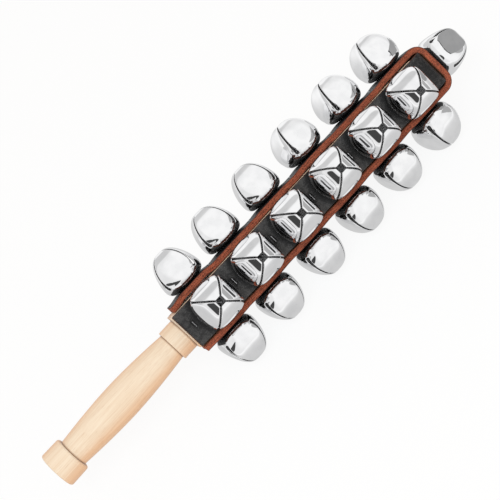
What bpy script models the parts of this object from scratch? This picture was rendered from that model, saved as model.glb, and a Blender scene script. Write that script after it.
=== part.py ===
"""A hand-held jingle stick: 25 chromed bells riveted to two leather straps that cross over a wooden core.

The stick lies on two rows of its bells, on the plane z = 0, with its tip towards +X. Lengths are metres.
In the stick's own frame x runs from the pommel to the tip, +Z leaves the front face and +Y the left face.
"""

import math

import bmesh
import bpy
from mathutils import Matrix, Vector

# Fits
FIT_GAP = 0.0003
WELD_DISTANCE = 0.00001

# Turned wooden stick: pommel, grip, collar and square core
POMMEL_LENGTH = 0.0144
POMMEL_END_DIAMETER = 0.0254
POMMEL_NECK_DIAMETER = 0.0246
POMMEL_ROUND = 0.0014
GRIP_LENGTH = 0.0876
GRIP_POMMEL_DIAMETER = 0.0190
GRIP_SWELL_DIAMETER = 0.0241
GRIP_COLLAR_DIAMETER = 0.0185
GRIP_SWELL_PLACE = 0.0372
GRIP_SWELL_POWER = 1.5
COLLAR_LENGTH = 0.0110
COLLAR_DIAMETER = 0.0224
COLLAR_ROUND = 0.0006
CORE_WIDTH = 0.0256
CORE_EDGE_ROUND = 0.0008
CORE_TIP_STEPS = 3
TURNED_STEPS = 20
GRIP_POINTS = 5

# Leather straps
STRAP_THICKNESS = 0.0042
FACE_STRAP_INSET = 0.0002
SIDE_STRAP_INSET = 0.0003
STRAP_BEND_RADIUS = 0.0050
FACE_STRAP_SETBACK = 0.0018
SIDE_STRAP_SETBACK = 0.0030
SIDE_STRAP_SLIP = 0.0014
BEND_STEPS = 4
PARING_ANGLES = (math.radians(40), math.radians(75))

# Bells
BELL_WIDTH = 0.0291
BELL_HEIGHT = 0.0263
BELL_WIDEST_HEIGHT = 0.0059
BELL_BASE_DIAMETER = 0.0160
BELL_WALL = 0.0008
BELL_SLIT_WIDTH = 0.0011
BELL_SLIT_FOOT_WIDTH = 0.0022
BELL_SLIT_FOOT_HEIGHT = 0.0060
BELL_HOLE_WIDTH = 0.0043
CROWN_POWER = 1.45
CROWN_ROOT = 0.40
BASE_PLAN_POWER = 2.0
WIDEST_PLAN_POWER = 2.45
TOP_PLAN_POWER = 8.0
PETALS = 4
PETAL_COLUMNS = 4
PETAL_ROWS = 3
PETAL_SHOULDER = 0.56

# Rows of bells
BELLS_IN_ROW = 6
FACE_BELL_SPACE = 0.0063
SIDE_BELL_SPACE = 0.0081
FACE_FIRST_BELL = 0.0252
SIDE_FIRST_BELL = 0.0223
LAST_BELL_TO_CORE_END = 0.0144
LEFT_BELL_SLIPS = (0.0011, -0.0010, -0.0011, -0.0004, 0.0009, 0.0007)
RIGHT_BELL_SLIPS = (0.0009, -0.0010, 0.0002, -0.0001, -0.0004, -0.0001)
BELL_SEAT_MARGIN = 0.0008

# Rivets, one through each bell's base
RIVET_SHANK_DIAMETER = 0.0036
RIVET_HEAD_DIAMETER = 0.0080
RIVET_HEAD_THICKNESS = 0.0008
RIVET_TAIL_DIAMETER = 0.0066
RIVET_TAIL_THICKNESS = 0.0007
RIVET_STEPS = 6

# Pellets, one loose in each bell
PELLET_DIAMETER = 0.0080
PELLET_CLEARANCE = 0.0005
PELLET_SEGMENTS = 8
PELLET_RINGS = 5
ROOM_SAMPLES = 200
ROOM_HALVINGS = 40

# Staples between the bells of the front face
STAPLE_WIDTH = 0.0052
STAPLE_WIRE = 0.0008
STAPLE_BITE = 0.0060

# The stick lies with its front face turned up by this angle
LYING_ROLL = math.radians(45)
ROWS = (("front", 0), ("left", -90), ("back", 180), ("right", 90))
UPPER_ROWS = ("front", "left")

# Stations along the stick, from the pommel's end
GRIP_START = POMMEL_LENGTH
COLLAR_START = GRIP_START + GRIP_LENGTH
CORE_START = COLLAR_START + COLLAR_LENGTH
FACE_PITCH = BELL_WIDTH + FACE_BELL_SPACE
SIDE_PITCH = BELL_WIDTH + SIDE_BELL_SPACE
FACE_LAST_BELL = FACE_FIRST_BELL + (BELLS_IN_ROW - 1) * FACE_PITCH
SIDE_LAST_BELL = SIDE_FIRST_BELL + (BELLS_IN_ROW - 1) * SIDE_PITCH + SIDE_STRAP_SLIP
CORE_END = CORE_START + max(FACE_LAST_BELL, SIDE_LAST_BELL) + LAST_BELL_TO_CORE_END

# Layers outward from the core: the leather stands off at each bell, to leave room for the rivet's tail
STRAP_RISE = RIVET_TAIL_THICKNESS + FIT_GAP
LEATHER_INSIDE = CORE_WIDTH / 2 + FIT_GAP
STAND_OFF = FIT_GAP + STRAP_RISE
BELL_SEAT = CORE_WIDTH / 2 + STAND_OFF + STRAP_THICKNESS + FIT_GAP
FACE_STRAP_TIP = CORE_END + STAND_OFF
SIDE_STRAP_TIP = FACE_STRAP_TIP + STRAP_THICKNESS + FIT_GAP
TIP_SEAT = SIDE_STRAP_TIP + STRAP_THICKNESS + FIT_GAP
FACE_STRAP_WIDTH = CORE_WIDTH - 2 * FACE_STRAP_INSET
SIDE_STRAP_WIDTH = CORE_WIDTH - 2 * SIDE_STRAP_INSET
RIVET_HOLE_DIAMETER = RIVET_SHANK_DIAMETER + 2 * FIT_GAP
STAPLE_SLOT = STAPLE_WIRE + 2 * FIT_GAP

for leftover in list(bpy.data.objects):
    bpy.data.objects.remove(leftover, do_unlink=True)

parts = bpy.data.collections.new("jingle_stick")
cutters = bpy.data.collections.new("cutters")
cutters.hide_render = True
bpy.context.scene.collection.children.link(parts)
bpy.context.scene.collection.children.link(cutters)


def material(name, colour, roughness, metallic):
    """A Principled material with one colour, roughness and metallic value."""
    made = bpy.data.materials.new(name)
    made.use_nodes = True
    shader = made.node_tree.nodes["Principled BSDF"]
    shader.inputs["Base Color"].default_value = (*colour, 1.0)
    shader.inputs["Roughness"].default_value = roughness
    shader.inputs["Metallic"].default_value = metallic
    return made


WOOD = material("pale_beech", (0.83, 0.62, 0.40), 0.45, 0.0)
FACE_LEATHER = material("face_strap_leather", (0.035, 0.032, 0.032), 0.55, 0.0)
SIDE_LEATHER = material("side_strap_leather", (0.040, 0.034, 0.033), 0.55, 0.0)
CHROME = material("bell_chrome", (0.80, 0.80, 0.81), 0.06, 1.0)
STEEL = material("pellet_steel", (0.55, 0.55, 0.56), 0.30, 1.0)
STAPLE_STEEL = material("staple_steel", (0.30, 0.30, 0.31), 0.40, 1.0)


def add_object(name, data, collection=parts):
    """A new object in one of the two collections; cutters show as wire."""
    made = bpy.data.objects.new(name, data)
    collection.objects.link(made)
    if collection is cutters:
        made.hide_render = True
        made.display_type = "WIRE"
    return made


def baked_mesh(source, name):
    """The evaluated shape of an object as a welded mesh facing outwards; the object is removed."""
    bpy.context.view_layer.update()
    graph = bpy.context.evaluated_depsgraph_get()
    mesh = bpy.data.meshes.new_from_object(source.evaluated_get(graph))
    mesh.name = name
    mesh.transform(source.matrix_world)
    shape = bmesh.new()
    shape.from_mesh(mesh)
    bmesh.ops.remove_doubles(shape, verts=shape.verts, dist=WELD_DISTANCE)
    bmesh.ops.recalc_face_normals(shape, faces=shape.faces)
    shape.to_mesh(mesh)
    shape.free()
    bpy.data.objects.remove(source, do_unlink=True)
    return mesh


def mesh_from(name, shape):
    """A mesh from a bmesh, which is freed."""
    mesh = bpy.data.meshes.new(name)
    shape.to_mesh(mesh)
    shape.free()
    return mesh


def turned_mesh(name, profile, steps):
    """A profile of (radius, height) points, listed from the top down, turned about Z."""
    line = bpy.data.meshes.new(name + "_profile")
    edges = [(i, i + 1) for i in range(len(profile) - 1)]
    line.from_pydata([(radius, 0.0, height) for radius, height in profile], edges, [])
    blank = add_object(name + "_blank", line, cutters)
    screw = blank.modifiers.new("turn", "SCREW")
    screw.steps = steps
    screw.render_steps = steps
    screw.use_merge_vertices = True
    screw.merge_threshold = WELD_DISTANCE
    return baked_mesh(blank, name)


def extruded_mesh(name, outline, thickness, closed=True):
    """An outline in the XY plane extruded along Z about that plane: a block, or an open ribbon."""
    curve = bpy.data.curves.new(name + "_outline", "CURVE")
    curve.dimensions = "2D"
    curve.fill_mode = "BOTH"
    curve.extrude = thickness / 2
    spline = curve.splines.new("POLY")
    spline.points.add(len(outline) - 1)
    for point, (x, y) in zip(spline.points, outline):
        point.co = (x, y, 0.0, 1.0)
    spline.use_cyclic_u = closed
    return baked_mesh(add_object(name + "_blank", curve, cutters), name)


def cut_or_join(obj, other, operation):
    """A Boolean of another object, which is a helper, on this one."""
    boolean = obj.modifiers.new(operation.lower() + "_" + other.name, "BOOLEAN")
    boolean.operation = operation
    boolean.solver = "EXACT"
    boolean.object = other


def add_box(shape, low, high):
    """A box between two corners, added to a bmesh."""
    low, high = Vector(low), Vector(high)
    place = Matrix.Translation((low + high) / 2) @ Matrix.Diagonal((*(high - low), 1.0))
    return bmesh.ops.create_cube(shape, size=1.0, matrix=place)["verts"]


def add_pin(shape, diameter, start, end):
    """A closed pin of the rivets' number of sides between two points, added to a bmesh."""
    start, end = Vector(start), Vector(end)
    turn = (end - start).to_track_quat("Z", "Y").to_matrix().to_4x4()
    bmesh.ops.create_cone(
        shape,
        cap_ends=True,
        segments=RIVET_STEPS,
        radius1=diameter / 2,
        radius2=diameter / 2,
        depth=(end - start).length,
        matrix=Matrix.Translation((start + end) / 2) @ turn,
    )


def shade_round(obj, angle=math.radians(35)):
    """Smooth shading with edges sharper than the angle kept."""
    obj.data.shade_smooth()
    obj.data.set_sharp_from_angle(angle=angle)


# Bell shape


def bell_half_width(height):
    """Half the width across flats: a rounded foot up to the widest height, then a tapering crown."""
    widest = BELL_WIDTH / 2
    foot = BELL_BASE_DIAMETER / 2
    if height < BELL_WIDEST_HEIGHT:
        drop = 1 - height / BELL_WIDEST_HEIGHT
        return foot + (widest - foot) * math.sqrt(1 - drop**2)
    climb = (height - BELL_WIDEST_HEIGHT) / (BELL_HEIGHT - BELL_WIDEST_HEIGHT)
    return widest * (1 - climb**CROWN_POWER) ** CROWN_ROOT


def bell_radius(height, angle):
    """Plan radius: a circle at the foot that turns into a rounded square, squarest at the top."""
    if height < BELL_WIDEST_HEIGHT:
        squared = height / BELL_WIDEST_HEIGHT
        power = BASE_PLAN_POWER + (WIDEST_PLAN_POWER - BASE_PLAN_POWER) * squared
    else:
        squared = (height - BELL_WIDEST_HEIGHT) / (BELL_HEIGHT - BELL_WIDEST_HEIGHT)
        power = WIDEST_PLAN_POWER + (TOP_PLAN_POWER - WIDEST_PLAN_POWER) * squared
    flat = abs(math.cos(angle)) ** power + abs(math.sin(angle)) ** power
    return bell_half_width(height) * flat ** (-1 / power)


def bell_top():
    """Height of the petals' tips, where the crown has closed to the width of the hole."""
    closed = (BELL_HOLE_WIDTH / BELL_WIDTH) ** (1 / CROWN_ROOT)
    climb = (1 - closed) ** (1 / CROWN_POWER)
    return BELL_WIDEST_HEIGHT + climb * (BELL_HEIGHT - BELL_WIDEST_HEIGHT)


def petal_edge(height, slit_width):
    """Angle from a petal's middle to its edge, with half a slit left on the diagonal."""
    corner = math.pi / PETALS
    return corner - math.asin(slit_width / 2 / bell_radius(height, corner))


def base_rings():
    """(height, petal edge, shoulder share) of the whole rings below the slits: evenly spaced at the base."""
    even_edge = math.pi / PETALS * (1 - 1 / PETAL_COLUMNS)
    even_shoulder = 1 / (PETAL_COLUMNS - 1)
    foot_edge = petal_edge(BELL_SLIT_FOOT_HEIGHT, BELL_SLIT_FOOT_WIDTH)
    return [
        (0.0, even_edge, even_shoulder),
        (BELL_SLIT_FOOT_HEIGHT / 3, (even_edge + foot_edge) / 2, (even_shoulder + PETAL_SHOULDER) / 2),
        (BELL_SLIT_FOOT_HEIGHT, foot_edge, PETAL_SHOULDER),
    ]


def petal_rings():
    """(height, petal edge, shoulder share) of the rings above the slits' feet, closest near the top."""
    rise = bell_top() - BELL_SLIT_FOOT_HEIGHT
    rings = []
    for row in range(1, PETAL_ROWS + 1):
        height = BELL_SLIT_FOOT_HEIGHT + rise * math.sin(math.pi / 2 * row / PETAL_ROWS)
        rings.append((height, petal_edge(height, BELL_SLIT_WIDTH), PETAL_SHOULDER))
    return rings


def bell_ring(shape, height, edge, shoulder):
    """The points of one ring round the bell, petal by petal, added to a bmesh."""
    ring = []
    for petal in range(PETALS):
        for share in (-1, -shoulder, shoulder, 1):
            angle = petal * 2 * math.pi / PETALS + share * edge
            radius = bell_radius(height, angle)
            ring.append(shape.verts.new((radius * math.cos(angle), radius * math.sin(angle), height)))
    return ring


def bell_surface():
    """The bell's outer skin, a loft from a round base to four petals with open slits between them."""
    shape = bmesh.new()
    whole = base_rings()
    grid = [bell_ring(shape, *ring) for ring in whole + petal_rings()]
    shape.faces.new(reversed(grid[0]))
    for level, (lower, upper) in enumerate(zip(grid, grid[1:])):
        for column in range(len(lower)):
            in_slit = column % PETAL_COLUMNS == PETAL_COLUMNS - 1
            if in_slit and level >= len(whole) - 1:
                continue
            after = (column + 1) % len(lower)
            shape.faces.new((lower[column], lower[after], upper[after], upper[column]))
    return mesh_from("bell_skin", shape)


def rivet_mesh(name, grip):
    """A rivet under a bell's base: head on the base's inside, shank, and tail clenched at the far end."""
    head_top = BELL_WALL + RIVET_HEAD_THICKNESS
    head_under = BELL_WALL / 2
    head = RIVET_HEAD_DIAMETER / 2
    shank = RIVET_SHANK_DIAMETER / 2
    tail = RIVET_TAIL_DIAMETER / 2
    profile = [
        (0.0, head_top),
        (head, head_top),
        (head, head_under),
        (shank, head_under),
        (shank, -grip),
        (tail, -grip),
        (tail, -grip - RIVET_TAIL_THICKNESS),
        (0.0, -grip - RIVET_TAIL_THICKNESS),
    ]
    return turned_mesh(name, profile, RIVET_STEPS)


def bell_mesh(name, grip):
    """A bell with its rivet staked into the base; grip is the thickness that the rivet holds."""
    shell = add_object(name + "_shell", bell_surface(), cutters)
    wall = shell.modifiers.new("wall", "SOLIDIFY")
    wall.thickness = BELL_WALL
    wall.offset = -1
    wall.use_even_offset = True
    rivet = add_object(name + "_rivet", rivet_mesh(name + "_rivet", grip), cutters)
    cut_or_join(shell, rivet, "UNION")
    mesh = baked_mesh(shell, name)
    bpy.data.objects.remove(rivet, do_unlink=True)
    mesh.materials.clear()
    mesh.materials.append(CHROME)
    return mesh


# Room for the pellet inside a bell


def pellet_floor():
    """Height of the pellet's middle when it lies on the rivet's head."""
    return BELL_WALL + RIVET_HEAD_THICKNESS + PELLET_DIAMETER / 2 + FIT_GAP


def flat_share():
    """Share of the half width at which a petal's flat facet lies, between its two shoulder columns."""
    edge = petal_edge(BELL_WIDEST_HEIGHT, BELL_SLIT_WIDTH) * PETAL_SHOULDER
    return bell_radius(BELL_WIDEST_HEIGHT, edge) * math.cos(edge) / bell_half_width(BELL_WIDEST_HEIGHT)


def room_at(height):
    """Free radius of a ball on the bell's axis at a height, inside the petals' flat facets."""
    nearest = BELL_WIDTH
    share = flat_share()
    for i in range(ROOM_SAMPLES + 1):
        level = bell_top() * i / ROOM_SAMPLES
        reach = bell_half_width(level) * share
        nearest = min(nearest, math.hypot(reach, level - height))
    return nearest - BELL_WALL


def pellet_ceiling():
    """Highest middle of the pellet on the bell's axis before it meets the petals."""
    needed = PELLET_DIAMETER / 2 + PELLET_CLEARANCE
    low, high = BELL_WIDEST_HEIGHT, BELL_HEIGHT
    for _ in range(ROOM_HALVINGS):
        middle = (low + high) / 2
        if room_at(middle) > needed:
            low = middle
        else:
            high = middle
    return low


def pellet_swing():
    """How far the pellet's middle can leave the axis at the widest height, towards a petal's flat."""
    inside = bell_half_width(BELL_WIDEST_HEIGHT) * flat_share() - BELL_WALL
    return inside - PELLET_DIAMETER / 2 - PELLET_CLEARANCE


# Straps


def seat_half_length():
    """Half the flat stretch of leather under a bell."""
    return BELL_BASE_DIAMETER / 2 + BELL_SEAT_MARGIN


def leg_stations(bells, pitch, end):
    """(place along the stick, share of the rise) of a strap leg, from its cut end to its last bell's seat."""
    seat = seat_half_length()
    stations = [(end, 0.0)]
    for bell in bells:
        for before, share in ((pitch / 2, 0.0), ((pitch / 2 + seat) / 2, 0.5), (seat, 1.0)):
            if bell - before > stations[-1][0]:
                stations.append((bell - before, share))
        if bell != bells[-1]:
            stations.append((bell + seat, 1.0))
            stations.append((bell + (pitch / 2 + seat) / 2, 0.5))
    return stations


def bend(centre, radius, side):
    """Points of a strap's bend at the tip, from the leg to the crossing, on one side of the stick."""
    points = []
    for step in range(BEND_STEPS + 1):
        angle = math.pi / 2 * step / BEND_STEPS
        reach = centre[1] + radius * math.cos(angle)
        points.append((centre[0] + radius * math.sin(angle), side * reach))
    return points


def strap_path(legs, tip):
    """The strap's inner skin as (along, sideways) points: up the first leg, over the tip, down the second."""
    centre = (tip - STRAP_BEND_RADIUS, CORE_WIDTH / 2 + STAND_OFF - STRAP_BEND_RADIUS)
    halves = []
    for side, stations in zip((1, -1), legs):
        half = [(x, side * (LEATHER_INSIDE + share * STRAP_RISE)) for x, share in stations]
        halves.append(half + bend(centre, STRAP_BEND_RADIUS, side))
    return halves[0] + halves[1][::-1]


def strap_mesh(name, legs, tip, width):
    """A ribbon along the strap's inner skin, thickened outwards; its legs wave between bells and staples."""
    ribbon = add_object(name, extruded_mesh(name, strap_path(legs, tip), width, closed=False), cutters)
    wall = ribbon.modifiers.new("thickness", "SOLIDIFY")
    wall.thickness = STRAP_THICKNESS
    wall.offset = 1
    wall.use_even_offset = True
    return baked_mesh(ribbon, name)


def face_places():
    """Places of the front or back row's bells along the stick, evenly spaced."""
    return [CORE_START + FACE_FIRST_BELL + i * FACE_PITCH for i in range(BELLS_IN_ROW)]


def side_places(strap_slip, bell_slips):
    """Places of a side row's bells: the strap lies off centre, and each bell a little off its even place."""
    first = CORE_START + SIDE_FIRST_BELL + strap_slip
    return [first + i * SIDE_PITCH + bell_slips[i % len(bell_slips)] for i in range(BELLS_IN_ROW)]


def left_places():
    """Places of the left row's bells."""
    return side_places(SIDE_STRAP_SLIP, LEFT_BELL_SLIPS)


def right_places():
    """Places of the right row's bells."""
    return side_places(-SIDE_STRAP_SLIP, RIGHT_BELL_SLIPS)


def strap_holes(name, legs_bells, tip):
    """Pins that cut one strap's rivet holes: in both legs, in its own XY plane, and at the tip."""
    shape = bmesh.new()
    inside = CORE_WIDTH / 2
    outside = BELL_SEAT + STRAP_RISE
    for side, bells in zip((1, -1), legs_bells):
        for x in bells:
            add_pin(shape, RIVET_HOLE_DIAMETER, (x, side * inside, 0), (x, side * outside, 0))
    add_pin(shape, RIVET_HOLE_DIAMETER, (tip - STRAP_RISE, 0, 0), (tip + STRAP_THICKNESS + STRAP_RISE, 0, 0))
    return mesh_from(name, shape)


def paring_mesh():
    """The two corners that are pared off the face strap where the side strap bends over its edges."""
    centre = Vector((SIDE_STRAP_TIP - STRAP_BEND_RADIUS, CORE_WIDTH / 2 + STAND_OFF - STRAP_BEND_RADIUS))
    reach = STRAP_BEND_RADIUS - FIT_GAP
    low, high = (Vector((math.sin(angle), math.cos(angle))) * reach for angle in PARING_ANGLES)
    chord = high - low
    outline = [centre + low - chord, centre + high + chord, centre + high + chord + Vector((reach, reach))]
    block = extruded_mesh("paring_corner", outline, SIDE_STRAP_WIDTH + 2 * FIT_GAP)
    corner = add_object("paring_corner", block, cutters)
    mirror = corner.modifiers.new("both_edges", "MIRROR")
    mirror.use_axis = (False, True, False)
    mirror.use_mirror_merge = False
    return baked_mesh(corner, "paring")


# Wooden stick


def grip_profile():
    """(radius, place) of the grip from collar to pommel: it falls away from the swell by a power."""
    points = []
    ends = (
        (GRIP_COLLAR_DIAMETER, GRIP_LENGTH - GRIP_SWELL_PLACE, 1),
        (GRIP_POMMEL_DIAMETER, GRIP_SWELL_PLACE, -1),
    )
    for end_diameter, run, direction in ends:
        half = []
        for i in range(GRIP_POINTS + 1):
            share = i / GRIP_POINTS
            fall = (GRIP_SWELL_DIAMETER - end_diameter) * share**GRIP_SWELL_POWER
            place = GRIP_START + GRIP_SWELL_PLACE + direction * share * run
            half.append(((GRIP_SWELL_DIAMETER - fall) / 2, place))
        points += half[::-1] if direction > 0 else half[1:]
    return points


def stick_profile():
    """The turned outline from the spigot inside the core down to the middle of the pommel's end face."""
    collar = COLLAR_DIAMETER / 2
    neck = POMMEL_NECK_DIAMETER / 2
    end = POMMEL_END_DIAMETER / 2
    spigot = min(collar, CORE_WIDTH / 2) / 2
    return [
        (0.0, CORE_START + COLLAR_LENGTH),
        (spigot, CORE_START + COLLAR_LENGTH),
        (spigot, CORE_START + COLLAR_ROUND),
        (collar, CORE_START + COLLAR_ROUND),
        (collar, COLLAR_START + COLLAR_ROUND),
        (collar - COLLAR_ROUND, COLLAR_START),
        *grip_profile(),
        (neck - POMMEL_ROUND, GRIP_START),
        (neck, GRIP_START - POMMEL_ROUND),
        (end, POMMEL_ROUND),
        (end - POMMEL_ROUND / 3, POMMEL_ROUND / 3),
        (end - POMMEL_ROUND, 0.0),
        (0.0, 0.0),
    ]


def core_mesh():
    """The square core: edges eased along its length, and rounded at the tip where the straps bend over it."""
    shape = bmesh.new()
    half = CORE_WIDTH / 2
    add_box(shape, (CORE_START, -half, -half), (CORE_END, half, half))
    tip_edges = [edge for edge in shape.edges if all(vert.co.x > CORE_END - FIT_GAP for vert in edge.verts)]
    tip_round = STRAP_BEND_RADIUS - STAND_OFF
    bmesh.ops.bevel(shape, geom=tip_edges, offset=tip_round, segments=CORE_TIP_STEPS, affect="EDGES")
    long_edges = [edge for edge in shape.edges if edge.calc_length() > (CORE_END - CORE_START) / 2]
    bmesh.ops.bevel(shape, geom=long_edges, offset=CORE_EDGE_ROUND, segments=1, affect="EDGES")
    return mesh_from("core", shape)


def staple_places():
    """Places of the front staples: half a pitch below each bell of the front row."""
    return [x - FACE_PITCH / 2 for x in face_places()]


def staple_slots(name):
    """Slots for both legs of every front staple, through the leather and into the core."""
    shape = bmesh.new()
    bottom = CORE_WIDTH / 2 - STAPLE_BITE - FIT_GAP
    top = BELL_SEAT + STRAP_RISE
    for x in staple_places():
        for side in (1, -1):
            y = side * (STAPLE_WIDTH - STAPLE_WIRE) / 2
            half = STAPLE_SLOT / 2
            add_box(shape, (x - half, y - half, bottom), (x + half, y + half, top))
    return mesh_from(name, shape)


def staple_mesh():
    """One staple, crown up, in its own XY plane: the crown lies on the leather and the legs bite the core."""
    crown_under = LEATHER_INSIDE + STRAP_THICKNESS + FIT_GAP
    crown_top = crown_under + STAPLE_WIRE
    foot = CORE_WIDTH / 2 - STAPLE_BITE
    outer = STAPLE_WIDTH / 2
    inner = outer - STAPLE_WIRE
    outline = [
        (-outer, foot),
        (-inner, foot),
        (-inner, crown_under),
        (inner, crown_under),
        (inner, foot),
        (outer, foot),
        (outer, crown_top),
        (-outer, crown_top),
    ]
    mesh = extruded_mesh("staple", outline, STAPLE_WIRE)
    mesh.materials.append(STAPLE_STEEL)
    return mesh


# Assembly

stick = add_object("stick_axis", None)
stick.rotation_euler = (LYING_ROLL, 0.0, 0.0)


def add_part(name, mesh, location=(0, 0, 0), rotation=(0, 0, 0)):
    """A piece of the stick, placed in the stick's own frame."""
    made = add_object(name, mesh)
    made.parent = stick
    made.location = location
    made.rotation_euler = rotation
    return made


def row_offset(turn, distance):
    """Sideways place of a point this far from the axis, on the face turned by an angle from the front."""
    return -math.sin(turn) * distance, math.cos(turn) * distance


def add_wooden_stick():
    """The stick itself: the turned handle joined to the square core, with slots for the front staples."""
    core = add_part("wooden_stick", core_mesh())
    core.data.materials.append(WOOD)
    turned = turned_mesh("turned_handle", stick_profile(), TURNED_STEPS)
    turned.transform(Matrix.Rotation(math.pi / 2, 4, "Y"))
    handle = add_object("turned_handle", turned, cutters)
    handle.parent = stick
    slots = add_object("core_slots", staple_slots("core_slots"), cutters)
    slots.parent = stick
    cut_or_join(core, handle, "UNION")
    cut_or_join(core, slots, "DIFFERENCE")
    shade_round(core)


def add_face_strap():
    """The inner strap, up the front, over the tip and down the back; its own XY plane stands on edge."""
    bells = face_places()
    leg = leg_stations(bells, FACE_PITCH, CORE_START + FACE_STRAP_SETBACK)
    upright = (math.pi / 2, 0.0, 0.0)
    mesh = strap_mesh("face_strap", (leg, leg), FACE_STRAP_TIP, FACE_STRAP_WIDTH)
    mesh.materials.append(FACE_LEATHER)
    strap = add_part("face_strap", mesh, rotation=upright)
    holes = add_object("face_holes", strap_holes("face_holes", (bells, bells), FACE_STRAP_TIP), cutters)
    holes.parent = stick
    holes.rotation_euler = upright
    slots = add_object("strap_slots", staple_slots("strap_slots"), cutters)
    slots.parent = stick
    paring = add_object("paring", paring_mesh(), cutters)
    paring.parent = stick
    for cutter in (holes, slots, paring):
        cut_or_join(strap, cutter, "DIFFERENCE")
    shade_round(strap)


def add_side_strap():
    """The outer strap, up the left side, over the face strap at the tip and down the right side."""
    left, right = left_places(), right_places()
    end = CORE_START + SIDE_STRAP_SETBACK
    legs = (
        leg_stations(left, SIDE_PITCH, end + SIDE_STRAP_SLIP),
        leg_stations(right, SIDE_PITCH, end - SIDE_STRAP_SLIP),
    )
    mesh = strap_mesh("side_strap", legs, SIDE_STRAP_TIP, SIDE_STRAP_WIDTH)
    mesh.materials.append(SIDE_LEATHER)
    strap = add_part("side_strap", mesh)
    holes = add_object("side_holes", strap_holes("side_holes", (left, right), SIDE_STRAP_TIP), cutters)
    holes.parent = stick
    cut_or_join(strap, holes, "DIFFERENCE")
    shade_round(strap)


def pellet_mesh():
    """A steel ball about its own middle."""
    shape = bmesh.new()
    bmesh.ops.create_uvsphere(
        shape, u_segments=PELLET_SEGMENTS, v_segments=PELLET_RINGS, radius=PELLET_DIAMETER / 2
    )
    mesh = mesh_from("pellet", shape)
    mesh.materials.append(STEEL)
    return mesh


def bell_rows():
    """(row name, turn about the axis, places along the stick) of the four rows."""
    places = {"front": face_places, "left": left_places, "back": face_places, "right": right_places}
    for row, degrees in ROWS:
        yield row, math.radians(degrees), places[row]()


def add_bells_and_pellets():
    """Every bell on its seat, and in it a pellet where its weight leaves it when the stick lies down."""
    bell = bell_mesh("bell", 2 * FIT_GAP + STRAP_THICKNESS)
    tip = bell_mesh("tip_bell", 3 * FIT_GAP + 2 * STRAP_THICKNESS)
    pellet = pellet_mesh()
    made = []
    for row, turn, places in bell_rows():
        rest = pellet_floor() if row in UPPER_ROWS else pellet_ceiling()
        for number, x in enumerate(places, 1):
            rotation = (turn, 0.0, 0.0)
            made.append(add_part(f"{row}_bell_{number}", bell, (x, *row_offset(turn, BELL_SEAT)), rotation))
            place = (x, *row_offset(turn, BELL_SEAT + rest))
            shade_round(add_part(f"{row}_pellet_{number}", pellet, place, rotation))
    made.append(add_part("tip_bell", tip, (TIP_SEAT, 0.0, 0.0), (0.0, math.pi / 2, 0.0)))
    shade_round(add_part("tip_pellet", pellet, (TIP_SEAT + BELL_WIDEST_HEIGHT, 0.0, -pellet_swing())))
    for piece in made:
        shade_round(piece)
    return made


def add_staples():
    """The staples of the front face, across the leather between the bells."""
    staple = staple_mesh()
    for number, x in enumerate(staple_places(), 1):
        add_part(f"front_staple_{number}", staple, (x, 0.0, 0.0), (math.pi / 2, 0.0, math.pi / 2))


def lay_down(bells):
    """Centres the stick over the origin and sets its lowest bells on the ground plane."""
    bpy.context.view_layer.update()
    lowest = min((bell.matrix_world @ vert.co).z for bell in bells for vert in bell.data.vertices)
    stick.location = (-(TIP_SEAT + bell_top()) / 2, 0.0, -lowest)


add_wooden_stick()
add_face_strap()
add_side_strap()
add_staples()
lay_down(add_bells_and_pellets())
print("pellet travel along a bell's axis:", round(pellet_ceiling() - pellet_floor(), 5))
print("tip pellet travel across its bell:", round(2 * pellet_swing(), 5))
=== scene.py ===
"""Dresses the jingle stick: chromed bells on crossed leather straps round a turned wooden stick.

Lengths are metres and angles degrees unless a name says otherwise. Shapes are worked out in the stick's own
frame, where x runs from the pommel to the tip, +y leaves the left face and +z the front face.
"""

import logging
import math
from dataclasses import dataclass, field, replace
from enum import Enum

import bpy
import numpy as np
from bpy.types import ID, Material, Node, NodeSocket, NodeTree, Object
from mathutils import Matrix, Vector


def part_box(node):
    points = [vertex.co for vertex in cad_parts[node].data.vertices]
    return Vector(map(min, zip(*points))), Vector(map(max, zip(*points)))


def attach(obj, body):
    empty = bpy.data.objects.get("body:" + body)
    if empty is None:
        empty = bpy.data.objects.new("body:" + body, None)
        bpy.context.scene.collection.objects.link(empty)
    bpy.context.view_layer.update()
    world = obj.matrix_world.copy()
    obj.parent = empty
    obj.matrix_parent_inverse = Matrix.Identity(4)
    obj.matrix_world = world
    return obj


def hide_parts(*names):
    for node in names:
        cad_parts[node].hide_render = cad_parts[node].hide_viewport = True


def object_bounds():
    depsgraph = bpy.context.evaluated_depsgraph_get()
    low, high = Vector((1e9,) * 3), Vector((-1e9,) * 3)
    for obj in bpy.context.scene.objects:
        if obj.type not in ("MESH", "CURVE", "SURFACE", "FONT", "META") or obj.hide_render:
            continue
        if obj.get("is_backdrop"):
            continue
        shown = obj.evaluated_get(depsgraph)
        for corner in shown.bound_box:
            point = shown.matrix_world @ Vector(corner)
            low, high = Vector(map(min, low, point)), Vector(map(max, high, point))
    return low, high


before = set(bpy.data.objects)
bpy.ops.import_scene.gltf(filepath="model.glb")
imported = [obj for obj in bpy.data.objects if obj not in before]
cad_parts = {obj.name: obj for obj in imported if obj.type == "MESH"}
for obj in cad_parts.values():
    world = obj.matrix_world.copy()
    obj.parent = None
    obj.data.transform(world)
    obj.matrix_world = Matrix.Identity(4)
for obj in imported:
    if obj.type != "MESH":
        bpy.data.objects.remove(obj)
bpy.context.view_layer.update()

LOG = logging.getLogger("jingle_stick")
STICK_BODY = "stick"
BELLS_IN_ROW = 6
PETALS = 4
RIGHT_ANGLE = math.pi / 2
# Edges that turn more than this many degrees are shaded sharp.
SHARP_ANGLE = 40.0
# The wave texture turns by this many radians for each unit of its scaled coordinate.
WAVE_PHASE = 20.0


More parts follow.
